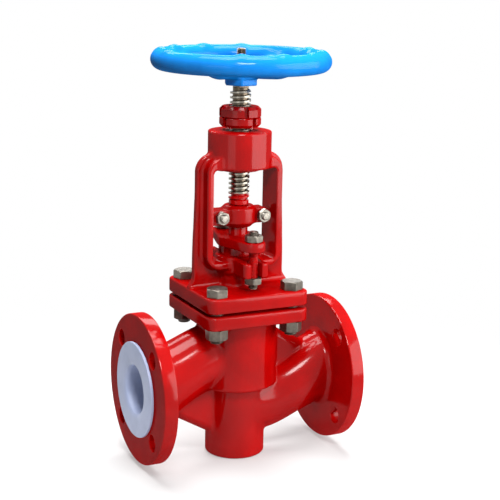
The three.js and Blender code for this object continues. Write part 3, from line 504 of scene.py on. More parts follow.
class Value:
    """One output socket. Arithmetic on values adds Math nodes to their material."""

    def __init__(self, finish, socket):
        self.finish = finish
        self.socket = socket

    def math(self, operation, first, second):
        """One Math node on values or numbers."""
        return self.finish.make("ShaderNodeMath", {"operation": operation}, {0: first, 1: second})

    def __add__(self, other):
        return self.math("ADD", self, other)

    def __rsub__(self, other):
        return self.math("SUBTRACT", other, self)

    def __mul__(self, other):
        return self.math("MULTIPLY", self, other)

    __radd__ = __add__
    __rmul__ = __mul__

    def between(self, low, high):
        """0 below the low value, 1 above the high value, and a smooth step between them."""
        settings = {"interpolation_type": "SMOOTHSTEP"}
        return self.finish.make("ShaderNodeMapRange", settings, {"Value": self, 1: low, 2: high})


class Finish:
    """A material whose nodes are made by one method. Patterns read the object's own place."""

    def __init__(self, name):
        self.material = bpy.data.materials.new(name)
        self.material.use_nodes = True
        self.material.node_tree.nodes.clear()
        self.place = self.make("ShaderNodeTexCoord", output="Object")

    def make(self, kind, settings=None, values=None, output=0):
        """Adds one node, sets it, fills its inputs by name or number, and gives an output."""
        tree = self.material.node_tree
        node = tree.nodes.new(kind)
        for key, value in (settings or {}).items():
            setattr(node, key, value)
        for key, value in (values or {}).items():
            socket = node.inputs[key]
            if isinstance(value, Value):
                tree.links.new(value.socket, socket)
            elif isinstance(value, tuple) and len(socket.default_value) == 4:
                socket.default_value = (*value, 1)
            else:
                socket.default_value = value
        return Value(self, node.outputs[output])

    def scaled(self, x, y, z):
        """The object's place with its axes stretched, for a pattern that runs one way."""
        return self.make("ShaderNodeMapping", None, {"Vector": self.place, "Scale": (x, y, z)})

    def length(self, vector):
        """How long a vector is."""
        return self.make("ShaderNodeVectorMath", {"operation": "LENGTH"}, {0: vector}, output=1)

    def noise(self, scale, detail, rough, place=None):
        """Noise of about one wave in a metre over scale, from 0 to 1."""
        values = {"Vector": place or self.place, "Scale": scale, "Detail": detail, "Roughness": rough}
        return self.make("ShaderNodeTexNoise", None, values)

    def mixed(self, share, first, second):
        """Two colours mixed by a share."""
        settings = {"data_type": "RGBA", "clamp_factor": True}
        return self.make("ShaderNodeMix", settings, {0: share, 6: first, 7: second}, output=2)

    def bump(self, height, distance, normal=None):
        """The normal over a height pattern of the given depth in metres, on another bump or none."""
        values = {"Height": height, "Distance": distance}
        if normal is not None:
            values["Normal"] = normal
        return self.make("ShaderNodeBump", None, values)

    def surface(self, **values):
        """The shader: names with spaces are written with underscores."""
        named = {key.replace("_", " "): value for key, value in values.items()}
        shader = self.make("ShaderNodeBsdfPrincipled", None, named)
        tree = self.material.node_tree
        out = tree.nodes.new("ShaderNodeOutputMaterial")
        tree.links.new(shader.socket, out.inputs["Surface"])
        return self.material


RED_DEEP, RED_BRIGHT = (0.30, 0.001, 0.001), (0.38, 0.001, 0.001)


def enamel(name, deep, bright, grain, swell, roughness, shine):
    """Thick glossy enamel: two near tones in slow patches, an orange-peel skin, and the casting's
    own swells underneath it, which bend its highlights."""
    finish = Finish(name)
    patches = finish.noise(26, 3, 0.55)
    colour = finish.mixed(patches.between(0.35, 0.68), deep, bright)
    dust = finish.noise(700, 2, 0.6).between(0.62, 0.8)
    gloss = roughness + 0.07 * patches + 0.05 * dust
    skin_wave = finish.noise(520, 2, 0.5)
    cast_wave = finish.noise(85, 2, 0.5)
    under = finish.bump(cast_wave, swell)
    normal = finish.bump(skin_wave, grain, under)
    return finish.surface(
        Base_Color=colour, Roughness=gloss, Normal=normal,
        Specular_IOR_Level=0.0, Coat_Weight=shine, Coat_Roughness=0.12, Coat_IOR=3.0,
    )


def turned_steel(name, dark, light, roughness, lines, stained):
    """Turned steel: fine rings round the stem axis in its bump and gloss, and slow stains."""
    finish = Finish(name)
    rings = finish.noise(lines, 2, 0.6, finish.scaled(0.05, 0.05, 1.0))
    stains = finish.noise(90, 4, 0.6)
    shade = stains.between(0.4, 0.75) * stained
    colour = finish.mixed(shade, light, dark)
    gloss = roughness + 0.16 * stains + 0.08 * rings
    return finish.surface(
        Base_Color=colour, Roughness=gloss, Metallic=0.95,
        Normal=finish.bump(rings, 0.00006),
    )


def painted_steel(name, dark, light, low, high, reach):
    """Steel that red enamel covers between two heights, with a wavy edge. Where it is nearer to
    the stem axis than the reach, as in a thread's valleys, it takes the dark colour as painted shade;
    elsewhere it is light, a little darker where slow stains lie."""
    finish = Finish(name)
    radius = finish.length(finish.scaled(1.0, 1.0, 0.0))
    height = finish.make("ShaderNodeSeparateXYZ", None, {0: finish.place}, output=2)
    height = height + 0.003 * finish.noise(160, 2, 0.5)
    painted = height.between(low, low + 0.0006) * (1 - height.between(high, high + 0.0006))
    stains = finish.noise(110, 4, 0.6).between(0.35, 0.75)
    # Painted shade: the thread's valleys, nearer the axis than the reach, take the dark colour; real
    # stains darken the rest a little
    clear_of_valley_shade_and_stains = radius.between(reach, reach + 0.0016) * (1 - 0.4 * stains)
    colour = finish.mixed(painted, finish.mixed(clear_of_valley_shade_and_stains, dark, light), RED_BRIGHT)
    return finish.surface(
        Base_Color=colour, Metallic=0.95 * (1 - painted), Roughness=0.24 + 0.14 * stains,
        Normal=finish.bump(stains, 0.00005), Specular_IOR_Level=0.2,
    )


def plated_steel(name, dark, light, roughness):
    """Dull plated fasteners: mottled tones, duller where they are darker, and a grained skin."""
    finish = Finish(name)
    mottle = finish.noise(240, 5, 0.65)
    cloud = finish.noise(60, 2, 0.5)
    share = mottle.between(0.2, 0.8) * 0.5 + cloud.between(0.3, 0.7) * 0.5
    colour = finish.mixed(share, dark, light)
    gloss = roughness + 0.2 * (1 - share)
    return finish.surface(
        Base_Color=colour, Roughness=gloss, Metallic=0.85,
        Normal=finish.bump(mottle, 0.0001),
    )


def plain_moulding(name, deep, bright, roughness, grain):
    """A moulded or machined surface with slow tone changes and a fine tooled grain."""
    finish = Finish(name)
    cloud = finish.noise(40, 3, 0.5)
    fine = finish.noise(900, 2, 0.5)
    colour = finish.mixed(cloud.between(0.3, 0.7), deep, bright)
    gloss = roughness + 0.1 * cloud
    return finish.surface(
        Base_Color=colour, Roughness=gloss, Normal=finish.bump(fine, grain),
    )


red_enamel = enamel("red_enamel", RED_DEEP, RED_BRIGHT, 0.00005, 0.0004, 0.27, 0.06)
red_on_steel = enamel("red_enamel_on_steel", RED_DEEP, RED_BRIGHT, 0.00004, 0.0001, 0.28, 0.06)
blue_enamel = enamel(
    "blue_enamel", (0.003, 0.155, 0.52), (0.004, 0.20, 0.62), 0.00004, 0.0002, 0.2, 0.04,
)
bright_steel = turned_steel("bright_steel", (0.06, 0.05, 0.04), (0.24, 0.22, 0.19), 0.24, 900, 0.5)
dark_steel = plated_steel("dark_steel", (0.06, 0.052, 0.043), (0.20, 0.178, 0.148), 0.24)
screw_steel = painted_steel(
    "screw_steel", (0.09, 0.07, 0.05), (0.27, 0.25, 0.21),
    0.2, (PIPE_HEIGHT + 204) / 1000, 0.0086,
)
stud_steel = painted_steel(
    "stud_steel", (0.05, 0.045, 0.035), (0.14, 0.12, 0.10),
    (LUG_BASE - 0.5) / 1000, (PIPE_HEIGHT + 147) / 1000, 0.02,
)
bronze = turned_steel("bronze", (0.22, 0.12, 0.04), (0.60, 0.38, 0.15), 0.3, 700, 0.6)
lining = plain_moulding("fluoroplastic_lining", (0.38, 0.44, 0.64), (0.46, 0.52, 0.73), 0.36, 0.00002)
packing = plain_moulding("packing", (0.66, 0.62, 0.52), (0.80, 0.77, 0.70), 0.6, 0.00005)

# Body casting


def passage_distance(along, across, height, end, middle):
    """A bent passage that starts level at a flange and dips under the stem axis. Its section is an
    ellipse whose middle falls on a smooth step, and half an ellipsoid closes it past the axis."""
    bend = 1 - eased(along, BEND_END, BEND_START)
    half_width = end[0] + (middle[0] - end[0]) * bend
    half_height = end[1] + (middle[1] - end[1]) * bend
    rise = height + PASSAGE_RISE * bend
    flat = across ** 2 + np.minimum(along, 0) ** 2
    scaled = np.sqrt(flat / half_width ** 2 + (rise / half_height) ** 2) + 1e-6
    slope = np.sqrt(flat / half_width ** 4 + (rise / half_height ** 2) ** 2) + 1e-6
    return scaled * (scaled - 1) / slope * 0.94


def both_passages(x, y, z, end, middle):
    """The +X passage as it is, and the -X one as the same turned half round Y."""
    inlet = passage_distance(x, y, z, end, middle)
    outlet = passage_distance(-x, y, -z, end, middle)
    return inlet, outlet


def wetted_distance(x, y, z, wall):
    """The space inside the casting: two passages, the chamber and the port in the seat's web."""
    z = z - PIPE_HEIGHT
    port = CAST_BORE - wall
    halves = tuple(half - wall for half in PASSAGE_HALVES)
    inlet, outlet = both_passages(x, y, z, (port, port), halves)
    radius = np.sqrt(x * x + y * y)
    reach = CHAMBER_RADIUS - wall
    chamber = trimmed(radius - reach, SEAT_WEB + wall - z, 2)
    seat = trimmed(radius - SEAT_RADIUS + wall, np.abs(z) - PASSAGE_RISE)
    return np.minimum(np.minimum(inlet, outlet), np.minimum(chamber, seat))


def web_distance(along, across, height):
    """A narrow web with a round edge: it leaves the foot or the barrel, rises towards the pipe's
    axis as it gets lower, and sinks into a neck."""
    rise, half_height, taper = 24, 35, 12
    run = (along - BEND_END) / (WEB_TIP - BEND_END)
    middle = height + PASSAGE_RISE - rise * run
    web = rounded_box(across, middle, WEB_HALF, half_height - taper * run, WEB_HALF)
    start, end = 18, 94
    return np.maximum(web * 0.9, np.abs(along - (start + end) / 2) - (end - start) / 2)


def body_distance(x, y, z):
    """The casting between its flanges and under its plate, with the fillets where they meet."""
    height = z - PIPE_HEIGHT
    radius = np.sqrt(x * x + y * y)
    barrel = trimmed(radius - BARREL_RADIUS, BARREL_BASE - z, 4)
    foot = trimmed(trimmed(radius - FOOT_RADIUS, -z, 2.5), height + 3)
    shape = joined(barrel, foot, 2)
    webs = np.minimum(web_distance(-x, y, height), web_distance(x, y, -height))
    shape = joined(shape, webs, 3)
    inlet, outlet = both_passages(x, y, height, NECK_HALVES_AT_FLANGE, NECK_HALVES_AT_SEAT)
    necks = np.minimum(trimmed(inlet, 2 - x, 8), trimmed(outlet, 2 + x, 8))
    shape = joined(shape, necks, 3)
    inside_plate = rounded_box(x, y, 50, 50, 8)
    underside = trimmed(inside_plate, PLATE_BASE + SUNK - z, 0.5)
    shape = joined(shape, underside, 5)
    across_flange = np.sqrt(y * y + height * height) - 58
    end_disc = trimmed(across_flange, FLANGE_BACK + SUNK - np.abs(x), 0.5)
    shape = joined(shape, end_disc, 6)
    past_plates = np.maximum(np.abs(x) - FLANGE_BACK - OVERLAP, z - PLATE_BASE - OVERLAP)
    shape = np.maximum(shape, past_plates)
    return np.maximum(shape, -wetted_distance(x, y, z, 0))


def pipe_flange():
    """The +X flange: a ring with rounded edges and four bolt holes with small chamfers."""
    profile = ring_profile(CAST_BORE, FLANGE_RADIUS, FLANGE_BACK, FLANGE_FACE)
    ring = lathe(profile, [0.3, 1.6, 1.6, 0.3], 160)
    chamfer, past = 0.8, 2
    mouth = FLANGE_HOLE + chamfer + past
    hole = lathe([
        (0, FLANGE_BACK - past), (mouth, FLANGE_BACK - past), (FLANGE_HOLE, FLANGE_BACK + chamfer),
        (FLANGE_HOLE, FLANGE_FACE - chamfer), (mouth, FLANGE_FACE + past), (0, FLANGE_FACE + past),
    ], 0.0, 48)
    holes = [hole.moved(x=BOLT_CIRCLE).turned("Z", 45 + 90 * i) for i in range(4)]
    whole = carved(ring, sum(holes[1:], holes[0]))
    return whole.turned("Y", 90).moved(z=PIPE_HEIGHT)


def body_casting():
    """The casting between the flanges as one field, its square plate and its two flanges."""
    middle = field_surface(body_distance, (-108, -62, -3), (108, 62, PLATE_BASE + 9), 1.35)
    plate = square_plate(PLATE_BASE, PLATE_TOP, CHAMBER_RADIUS)
    flange = pipe_flange()
    shape = middle + plate + flange + flange.turned("Z", 180)
    piece("body", "body_casting", shape, "valve_body", red_enamel)


# Lining of the body


def liner_distance(x, y, z):
    """The lining inside the casting: what lies between its outer skin and its inner one, open at
    the top of the chamber."""
    shape = wetted_distance(x, y, z, GAP)
    shape = np.maximum(shape, -wetted_distance(x, y, z, GAP + LINER_WALL))
    above_seat = np.sqrt(x * x + y * y) - CHAMBER_RADIUS + GAP + LINER_WALL
    open_top = np.maximum(above_seat, PIPE_HEIGHT + SEAT_WEB + 4 - z)
    shape = np.maximum(shape, -open_top)
    return np.maximum(shape, np.maximum(np.abs(x) - FLANGE_BACK - 7, z - PLATE_TOP))


def lining_mouth():
    """The lining turned over a flange face, with a round lip at the bore."""
    back, face = FLANGE_BACK + OVERLAP, FLANGE_FACE + GAP
    inner, outer = BORE_RADIUS - 0.05, CAST_BORE - GAP
    lip = 6.8
    return lathe([
        (inner, back), (inner, LINER_FACE), (LINER_RIM, LINER_FACE),
        (LINER_RIM, face), (outer, face), (outer, back),
    ], [0, lip, 0.8, 0.3, 0, 0], 160)


def body_lining():
    """The skin inside the casting, and the part turned over each flange face."""
    inside = field_surface(liner_distance, (-109, -36, 20), (109, 36, PLATE_TOP + 3), 1.5)
    mouth = lining_mouth()
    ends = mouth.turned("Y", 90) + mouth.turned("Y", -90)
    shape = inside + ends.moved(z=PIPE_HEIGHT)
    piece("lining", "body_liner", shape, "valve_body", lining)


# Bonnet, stuffing box and yoke


def yoke_distance(x, y, z):
    """Two T-section legs that meet in a round head, over a stuffing box with two slotted lugs."""
    strip_base = WINDOW_BASE - STRIP_THICKNESS
    middle, half = (strip_base + STRIP_TOP) / 2, (STRIP_TOP - strip_base) / 2
    band = rounded_box(x, z - middle, WINDOW_HALF + STRIP_THICKNESS, half, 16)
    strip = trimmed(band, np.abs(y) - STRIP_DEPTH, 1.8)
    widening = 2.4 * (1 - eased(z, PIPE_HEIGHT + 125, PIPE_HEIGHT + 215))
    foot_flare = 5 * (1 - eased(z, BONNET_TOP, BONNET_TOP + 14)) ** 2
    rib_half = (RIB_TOP - BONNET_TOP + 40) / 2
    rib_reach = RIB_REACH + widening + foot_flare
    rib_band = rounded_box(x, z - RIB_TOP + rib_half, rib_reach, rib_half, 19)
    rib = trimmed(rib_band, np.abs(y) - 4, 1.6)
    legs = joined(strip, rib, 3)
    window_half = (WINDOW_TOP - WINDOW_BASE) / 2
    window = rounded_box(x, z - WINDOW_BASE - window_half, WINDOW_HALF, window_half, 5)
    legs = trimmed(legs, -window, 1.4)
    radius = np.sqrt(x * x + y * y)
    head = trimmed(radius - HEAD_RADIUS, np.maximum(z - HEAD_TOP, WINDOW_TOP - z), 1.8)
    shape = joined(legs, head, 4)
    box_radius = BOX_WAIST + (BOX_RADIUS - BOX_WAIST) * eased(z, WAIST_TOP - 3, WAIST_TOP + 3)
    box = trimmed(radius - box_radius, z - BOX_TOP, 1.2)
    lug_height = np.abs(z - (LUG_BASE + LUG_TOP) / 2) - (LUG_TOP - LUG_BASE) / 2
    lug = trimmed(rounded_box(x, np.abs(y) - 24, 14, 23, 4), lug_height, 1.5)
    slot = rounded_box(x, np.abs(y) - GLAND_OFFSET - 10, 6, 16, 6)
    lug = trimmed(lug, -slot, 1.0)
    box = joined(box, lug, 2.5)
    shape = joined(shape, box, 2.5)
    base = trimmed(rounded_box(x, y, 55, 48, 8), z - BONNET_TOP + SUNK, 0.5)
    shape = joined(shape, base, 4)
    shape = np.maximum(shape, BONNET_TOP - 5 - z)
    bore = np.where(z > BOX_FLOOR, PACKING_RADIUS, THROAT_RADIUS)
    hole = trimmed(radius - bore, z - BOX_TOP - 3)
    nut_bore = trimmed(radius - YOKE_NUT_RADIUS, WINDOW_TOP - 3 - z)
    return trimmed(np.maximum(shape, -hole), -nut_bore, 0.8)


def bonnet_yoke():
    """The stuffing box and the yoke as one field, on the upper square plate."""
    low = (-59, -50, BONNET_TOP - 7)
    yoke = field_surface(yoke_distance, low, (59, 50, HEAD_TOP + 2), 1.15)
    plate = square_plate(BONNET_BASE, BONNET_TOP, THROAT_RADIUS)
    piece("bonnet_and_yoke", "bonnet_yoke", yoke + plate, "valve_body", red_enamel)


# Fasteners of the bonnet and the gland


def bonnet_fasteners():
    """Four bolts with their heads on the upper plate, and their nuts under the body's plate. Each
    stands at an angle of its own."""
    head_low = BONNET_TOP + GAP
    nut_high = PLATE_BASE - GAP
    nut_low = nut_high - NUT_HEIGHT
    corners = [(-1, -1), (1, -1), (1, 1), (-1, 1)]
    turns = [0.12, 0.45, 0.3, 0.75]
    for i, ((side_x, side_y), turn) in enumerate(zip(corners, turns), 1):
        place = {"x": side_x * BOLT_OFFSET, "y": side_y * BOLT_OFFSET}
        head = hexagon(BOLT_HEX, head_low, head_low + BOLT_HEAD, turn=turn, both=False)
        shank = screwed_rod(BOLT_RADIUS, nut_low - BOLT_TAIL, nut_high + 3, 1.75, 0.9)
        rod = lathe(ring_profile(0, BOLT_RADIUS, nut_high + 2, head_low + 1), 0, 28)
        bolt = (head + shank + rod).moved(**place)
        nut = hexagon(BOLT_HEX, nut_low, nut_high, hole=BOLT_RADIUS - 0.1, turn=turn + 0.3)
        nut = nut.moved(**place)
        for node, shape in ((f"bonnet_bolt_{i}", bolt), (f"bonnet_nut_{i}", nut)):
            piece(f"{node}_turned", node, shape, "valve_body", dark_steel)


def gland_outline(inset):
    """The oval of the gland flange: a large circle in the middle and a small one at each end,
    joined by their common tangents, drawn by angle about the middle."""
    centre, end = GLAND_CENTRE - inset, GLAND_END - inset
    lean = math.asin((centre - end) / GLAND_OFFSET)
    ends = np.linspace(lean, math.pi - lean, 17)
    sides = np.linspace(math.pi - lean, math.pi + lean, 9)[1:-1]
    top = np.stack([end * np.cos(ends), GLAND_OFFSET + end * np.sin(ends)], -1)
    left = np.stack([centre * np.cos(sides), centre * np.sin(sides)], -1)
    half = np.concatenate([top, left])
    return np.concatenate([half, -half])


def gland_flange():
    """The oval with a round hole for the stem, as high as its CAD node."""
    low, high = span("gland_flange")
    shape = pierced_plate(gland_outline, low[2], high[2], STEM_RADIUS + GAP, 1.6, 4)
    piece("gland_flange_oval", "gland_flange", shape, "valve_body", red_enamel)


def gland_follower():
    """A ring between the stem and the wall of the stuffing box."""
    low, high = span("gland_follower")
    profile = ring_profile(STEM_RADIUS + GAP, high[0], low[2], high[2] + 0.2)
    shape = lathe(profile, [0.3, 0.8, 0.5, 0.8])
    piece("gland_follower_turned", "gland_follower", shape, "valve_body", red_enamel)


def gland_fasteners():
    """Two studs, each with a nut above the gland flange and one under the lug."""
    for place, side in (("front", -1), ("rear", 1)):
        y = side * GLAND_OFFSET
        low, high = span(f"gland_stud_{place}")
        stud = screwed_rod(STUD_RADIUS, low[2], high[2], STUD_PITCH, 0.75).moved(y=y)
        node = f"gland_stud_{place}"
        piece(f"{node}_screwed", node, stud, "valve_body", stud_steel)
        for node, turn in ((f"gland_nut_{place}", 0.35), (f"gland_lower_nut_{place}", 0.1)):
            low, high = span(node)
            nut = hexagon(STUD_HEX, low[2], high[2], hole=STUD_RADIUS - 0.1, turn=turn).moved(y=y)
            piece(f"{node}_turned", node, nut, "valve_body", dark_steel)


# Stem, clamp and screw


def lower_stem():
    """A rod with a collar that meets the bonnet, and a neck under the head in the clamp."""
    low, high = span("lower_stem")
    shoulder = PIPE_HEIGHT + 34.3
    collar = span("bonnet_liner")[0][2] - 15.3
    neck = PIPE_HEIGHT + 166.7
    head = PIPE_HEIGHT + 172
    tip_radius, collar_radius, neck_radius = 8, 14, 7
    shape = lathe([
        (0, low[2]), (tip_radius, low[2]), (tip_radius, shoulder), (STEM_RADIUS, shoulder),
        (STEM_RADIUS, collar - 6), (collar_radius, collar - 3), (collar_radius, collar),
        (STEM_RADIUS, collar), (STEM_RADIUS, neck), (neck_radius, neck), (neck_radius, head),
        (STEM_RADIUS, head), (STEM_RADIUS, high[2]), (0, high[2]),
    ], 0.3)
    piece("lower_stem_turned", "lower_stem", shape, "stem_assembly", red_on_steel)


def clamp_distance(x, y, z):
    """A round clamp body with chamfers and a flat ear on both sides, hollow for the two heads."""
    radius = np.sqrt(x * x + y * y)
    cone_low = (radius - 13 + CLAMP_BASE - z) / math.sqrt(2)
    cone_high = (radius - 15 + z - CLAMP_TOP) / math.sqrt(2)
    barrel = trimmed(radius - CLAMP_RADIUS, np.maximum(z - CLAMP_TOP, CLAMP_BASE - z), 0.8)
    barrel = trimmed(barrel, np.maximum(cone_low, cone_high), 0.6)
    ear_face = rounded_box(x + 3, z - EAR_MIDDLE, 32.5, (EAR_TOP - EAR_BASE) / 2, 3)
    ears = trimmed(ear_face, np.abs(y) - EAR_DEPTH, 1.0)
    shape = joined(barrel, ears, 2)
    pocket = trimmed(radius - STEM_RADIUS - GAP, np.abs(z - PIPE_HEIGHT - 178.15) - 6.45)
    necks = radius - np.where(z < PIPE_HEIGHT + 178, 7.3, 7.8)
    return np.maximum(shape, -np.minimum(pocket, necks))


def clamp():
    """One field cut along Y into two halves, and two bolts that draw them together."""
    for place, side in (("front", -1), ("rear", 1)):
        half = field_surface(
            lambda x, y, z: trimmed(clamp_distance(x, y, z), 0.15 - side * y, 0.35),
            (-37, -20, CLAMP_BASE - 2), (31, 20, CLAMP_TOP + 2), 0.7,
        )
        node = f"clamp_{place}_half"
        piece(f"{node}_cast", node, half, "stem_assembly", red_enamel)
    face = EAR_DEPTH + GAP
    for place, side in (("left", -1), ("right", 1)):
        head = hexagon(CLAMP_HEX, -face - 4.6, -face, hole=CLAMP_BOLT_RADIUS + GAP, turn=0.2)
        end, edge = -face - 6, -face - 5.2
        tip = lathe([(0, end), (2.6, end), (3.4, edge), (3.4, -face), (0, -face)], 0.5, 32)
        bolt = head + tip + screwed_rod(CLAMP_BOLT_RADIUS, -face - 1, face + 9, 1.25, 0.6)
        nut = hexagon(CLAMP_HEX, face, face + 6, hole=CLAMP_BOLT_RADIUS - 0.1, turn=0.4 * side)
        for kind, shape in (("bolt", bolt), ("nut", nut)):
            node = f"clamp_{kind}_{place}"
            shape = shape.turned("X", 90).moved(x=side * CLAMP_BOLT, z=EAR_MIDDLE)
            piece(f"{node}_turned", node, shape, "stem_assembly", bright_steel)


def main_thread(low, high):
    """The trapezoidal thread as a grid whose rows climb with the helix. One turn of rows repeats
    the thread's profile, and the last column joins the first one turn higher. At both ends the
    ridge fades out over a run and sinks under the screw's core."""
    around = 72
    crest, root = 0.9, 1.65
    end_gap, fade, depth = 1.5, 2.5, 0.4
    profile = np.array([
        [-THREAD_PITCH / 2, 0], [-root, 0], [-root + 0.12, 0.06], [-crest - 0.14, 0.94], [-crest, 1],
        [crest, 1], [crest + 0.14, 0.94], [root - 0.12, 0.06], [root, 0],
    ])
    per_turn = len(profile)
    turns = int((high - low) / THREAD_PITCH) - 1
    start = low + ((high - low) - turns * THREAD_PITCH) / 2
    angle = np.arange(around) / around
    rise = np.concatenate([profile[:, 0] + THREAD_PITCH * turn for turn in range(turns)])
    ridge = np.tile(profile[:, 1], turns)
    height = start + rise[:, None] + THREAD_PITCH * angle
    end = np.minimum(height - low, high - height) - end_gap
    grown = np.clip(end / fade, 0, 1)
    sunk = np.clip(-end / fade, 0, 1)
    reach = THREAD_ROOT + (THREAD_RADIUS - THREAD_ROOT) * ridge[:, None] * grown - depth * sunk
    turn = 2 * np.pi * angle
    points = np.stack([reach * np.cos(turn), reach * np.sin(turn), height], -1).reshape(-1, 3)
    index = np.arange(len(points)).reshape(-1, around)
    rows = len(index)
    quads = np.stack([index[:-1, :-1], index[:-1, 1:], index[1:, 1:], index[1:, :-1]], -1).reshape(-1, 4)
    seam = np.arange(rows - per_turn - 1)
    lower, upper = index[seam, -1], index[seam + 1, -1]
    wrap = np.stack([lower, index[seam + per_turn, 0], index[seam + per_turn + 1, 0], upper], -1)
    bottom = np.concatenate([index[0], index[1: per_turn + 1, 0][::-1]])[None, ::-1]
    last = rows - per_turn - 1
    top = np.concatenate([index[-1], index[last: -1, -1][::-1]])[None]
    return Shape(points, [quads, wrap, bottom, top]).outward()


def stem_screw():
    """The head in the clamp, a neck and a collar, the thread, and the wheel's square and stud."""
    low, high = span("stem_screw")
    head_top = PIPE_HEIGHT + 184.3
    neck_radius, collar_radius = 7.5, 10.5
    top = THREAD_TOP - 0.5
    core = lathe([
        (0, low[2]), (STEM_RADIUS, low[2]), (STEM_RADIUS, head_top), (neck_radius, head_top),
        (neck_radius, THREAD_BASE - 1), (collar_radius, THREAD_BASE),
        (collar_radius, THREAD_BASE + 4), (THREAD_ROOT, THREAD_BASE + 5),
        (THREAD_ROOT, top), (0, top),
    ], 0.3)
    square = square_rod(SQUARE_HALF, THREAD_TOP - 1, HUB_TOP - GAP)
    stud = screwed_rod(STUD_RADIUS, HUB_TOP - 1, high[2], STUD_PITCH, 0.75)
    shape = core + main_thread(THREAD_BASE + 1, THREAD_TOP) + square + stud
    piece("stem_screw_turned", "stem_screw", shape, "screw_and_handwheel", screw_steel)


def square_rod(half, low, high):
    """A square rod with round edges."""
    outline = square_outline(half, 0.8, 3)
    return skin(level_rings([(outline, low), (outline, high)]), capped=True)


def slotted_limit(outer, floor, half, turn):
    """The outer radius, or the slots' floor within half a slot's width of each quarter turn."""
    def limit(angles):
        nearest = np.mod(angles - turn + np.pi / 4, np.pi / 2) - np.pi / 4
        within = np.abs(nearest) < math.asin(half / outer)
        return np.where(within, floor / np.cos(nearest), outer)
    return limit


def lock_nuts():
    """Two round nuts with four slots each. Their angles bunch at the slots' edges."""
    slot_depth, half = 3.6, 2.6
    bevel = 0.8
    bore = THREAD_RADIUS + THREAD_GAP
    for node, turn, chamfers in (
        ("lock_nut_lower", 17, (3, bevel)), ("lock_nut_upper", -8, (bevel, 3)),
    ):
        low, high = span(node)
        outer, floor = high[0], high[0] - slot_depth
        start = math.radians(turn)
        edge = math.asin(half / outer)
        even = np.linspace(0, 2 * np.pi, 120, endpoint=False)
        slot_edges = np.array([
            start + quarter * np.pi / 2 + sign * (edge + shift)
            for quarter in range(4) for sign in (-1, 1) for shift in (-0.001, 0.001)
        ])
        angles = np.sort(np.mod(np.concatenate([even, slot_edges]), 2 * np.pi))
        steps = np.linspace(0, 1, 6)
        lower = np.stack([outer - chamfers[0] * (1 - steps), low[2] + chamfers[0] * steps], -1)
        upper = np.stack([outer - chamfers[1] * steps, high[2] - chamfers[1] * (1 - steps)], -1)
        under = [[bore, low[2] + bevel], [bore + bevel, low[2]]]
        over = [[bore + bevel, high[2]], [bore, high[2] - bevel]]
        corners = np.concatenate([under, lower, upper, over])
        shape = lathe(corners, 0.35, angles, slotted_limit(outer, floor, half, start))
        piece(f"{node}_turned", node, shape, "screw_and_handwheel", red_on_steel)


def yoke_nut():
    """A sleeve in the yoke's head, with a flange under it."""
    low, high = span("yoke_nut")
    bore, sleeve = THREAD_RADIUS + THREAD_GAP, YOKE_NUT_RADIUS - GAP
    flange_top = low[2] + 3
    shape = lathe([
        (bore, low[2]), (YOKE_NUT_FLANGE, low[2]), (YOKE_NUT_FLANGE, flange_top),
        (sleeve, flange_top), (sleeve, high[2]), (bore, high[2]),
    ], [0.8, 0.6, 0.6, 0.2, 0.8, 1.0])
    piece("yoke_nut_turned", "yoke_nut", shape, "valve_body", red_on_steel)


# Handwheel


def wheel_distance(x, y, z):
    """A round rim with raised grips, four spokes that rise and flare into it, and a hub. A grip
    is half an ellipsoid at every twelfth of a turn, apart from two twelfths."""
    radius = np.sqrt(x * x + y * y)
    angle = np.arctan2(y, x) - math.radians(SPOKE_TURN)
    height = z - RIM_HEIGHT
    rim = np.sqrt((radius - RIM_RADIUS) ** 2 + height ** 2) - RIM_TUBE
    quarter = np.mod(angle + np.pi / 4, np.pi / 2) - np.pi / 4
    along, across = radius * np.cos(quarter), radius * np.sin(quarter)
    rise = eased(along, 42, RIM_RADIUS)
    middle = SPOKE_HEIGHT + (RIM_HEIGHT - SPOKE_HEIGHT) * rise
    half_width = 10 + 7 * eased(along, 62, 84)
    half_height = 6.2 - 1.2 * eased(along, 20, 60)
    scaled = np.sqrt((across / half_width) ** 2 + ((z - middle) / half_height) ** 2) + 1e-6
    spoke = (scaled - 1) * half_height * 0.9
    spoke = np.maximum(spoke, np.maximum(10 - along, along - RIM_RADIUS))
    twelfth = np.mod(angle + np.pi / 12, np.pi / 6) - np.pi / 12
    number = np.mod(np.round((angle - twelfth) / (np.pi / 6)), 6)
    grip_along, grip_across, grip_height = 8.5, 7, RIM_TUBE * 0.45 + 1.5
    grip = np.sqrt(
        (radius * np.sin(twelfth) / grip_along) ** 2
        + ((radius - RIM_RADIUS + 1) / grip_across) ** 2
        + ((height - RIM_TUBE * 0.55) / grip_height) ** 2
    )
    far_away = 9.0
    grip = np.where(number == 0, far_away, (grip - 1) * 5)
    hub = trimmed(radius - 18, np.maximum(z - HUB_TOP, HUB_HEX_TOP - z), 1.5)
    flat = np.mod(np.arctan2(y, x) - math.radians(8), np.pi / 3) - np.pi / 6
    block = trimmed(radius * np.cos(flat) - 16, np.maximum(HUB_BASE - z, z - HUB_TOP + 2), 1.2)
    shape = joined(joined(rim, spoke, 4), grip, 2)
    shape = joined(joined(shape, hub, 3), block, 1)
    square = np.maximum(np.abs(x), np.abs(y)) - SQUARE_HALF - GAP
    return np.maximum(shape, -square)


def handwheel():
    """The wheel as one field, rim, grips, spokes and hub."""
    reach = WHEEL_RADIUS + 2
    low, high = (-reach, -reach, HUB_BASE - 2), (reach, reach, RIM_HEIGHT + 14)
    shape = field_surface(wheel_distance, low, high, 1.2)
    piece("wheel", "handwheel", shape, "screw_and_handwheel", blue_enamel)


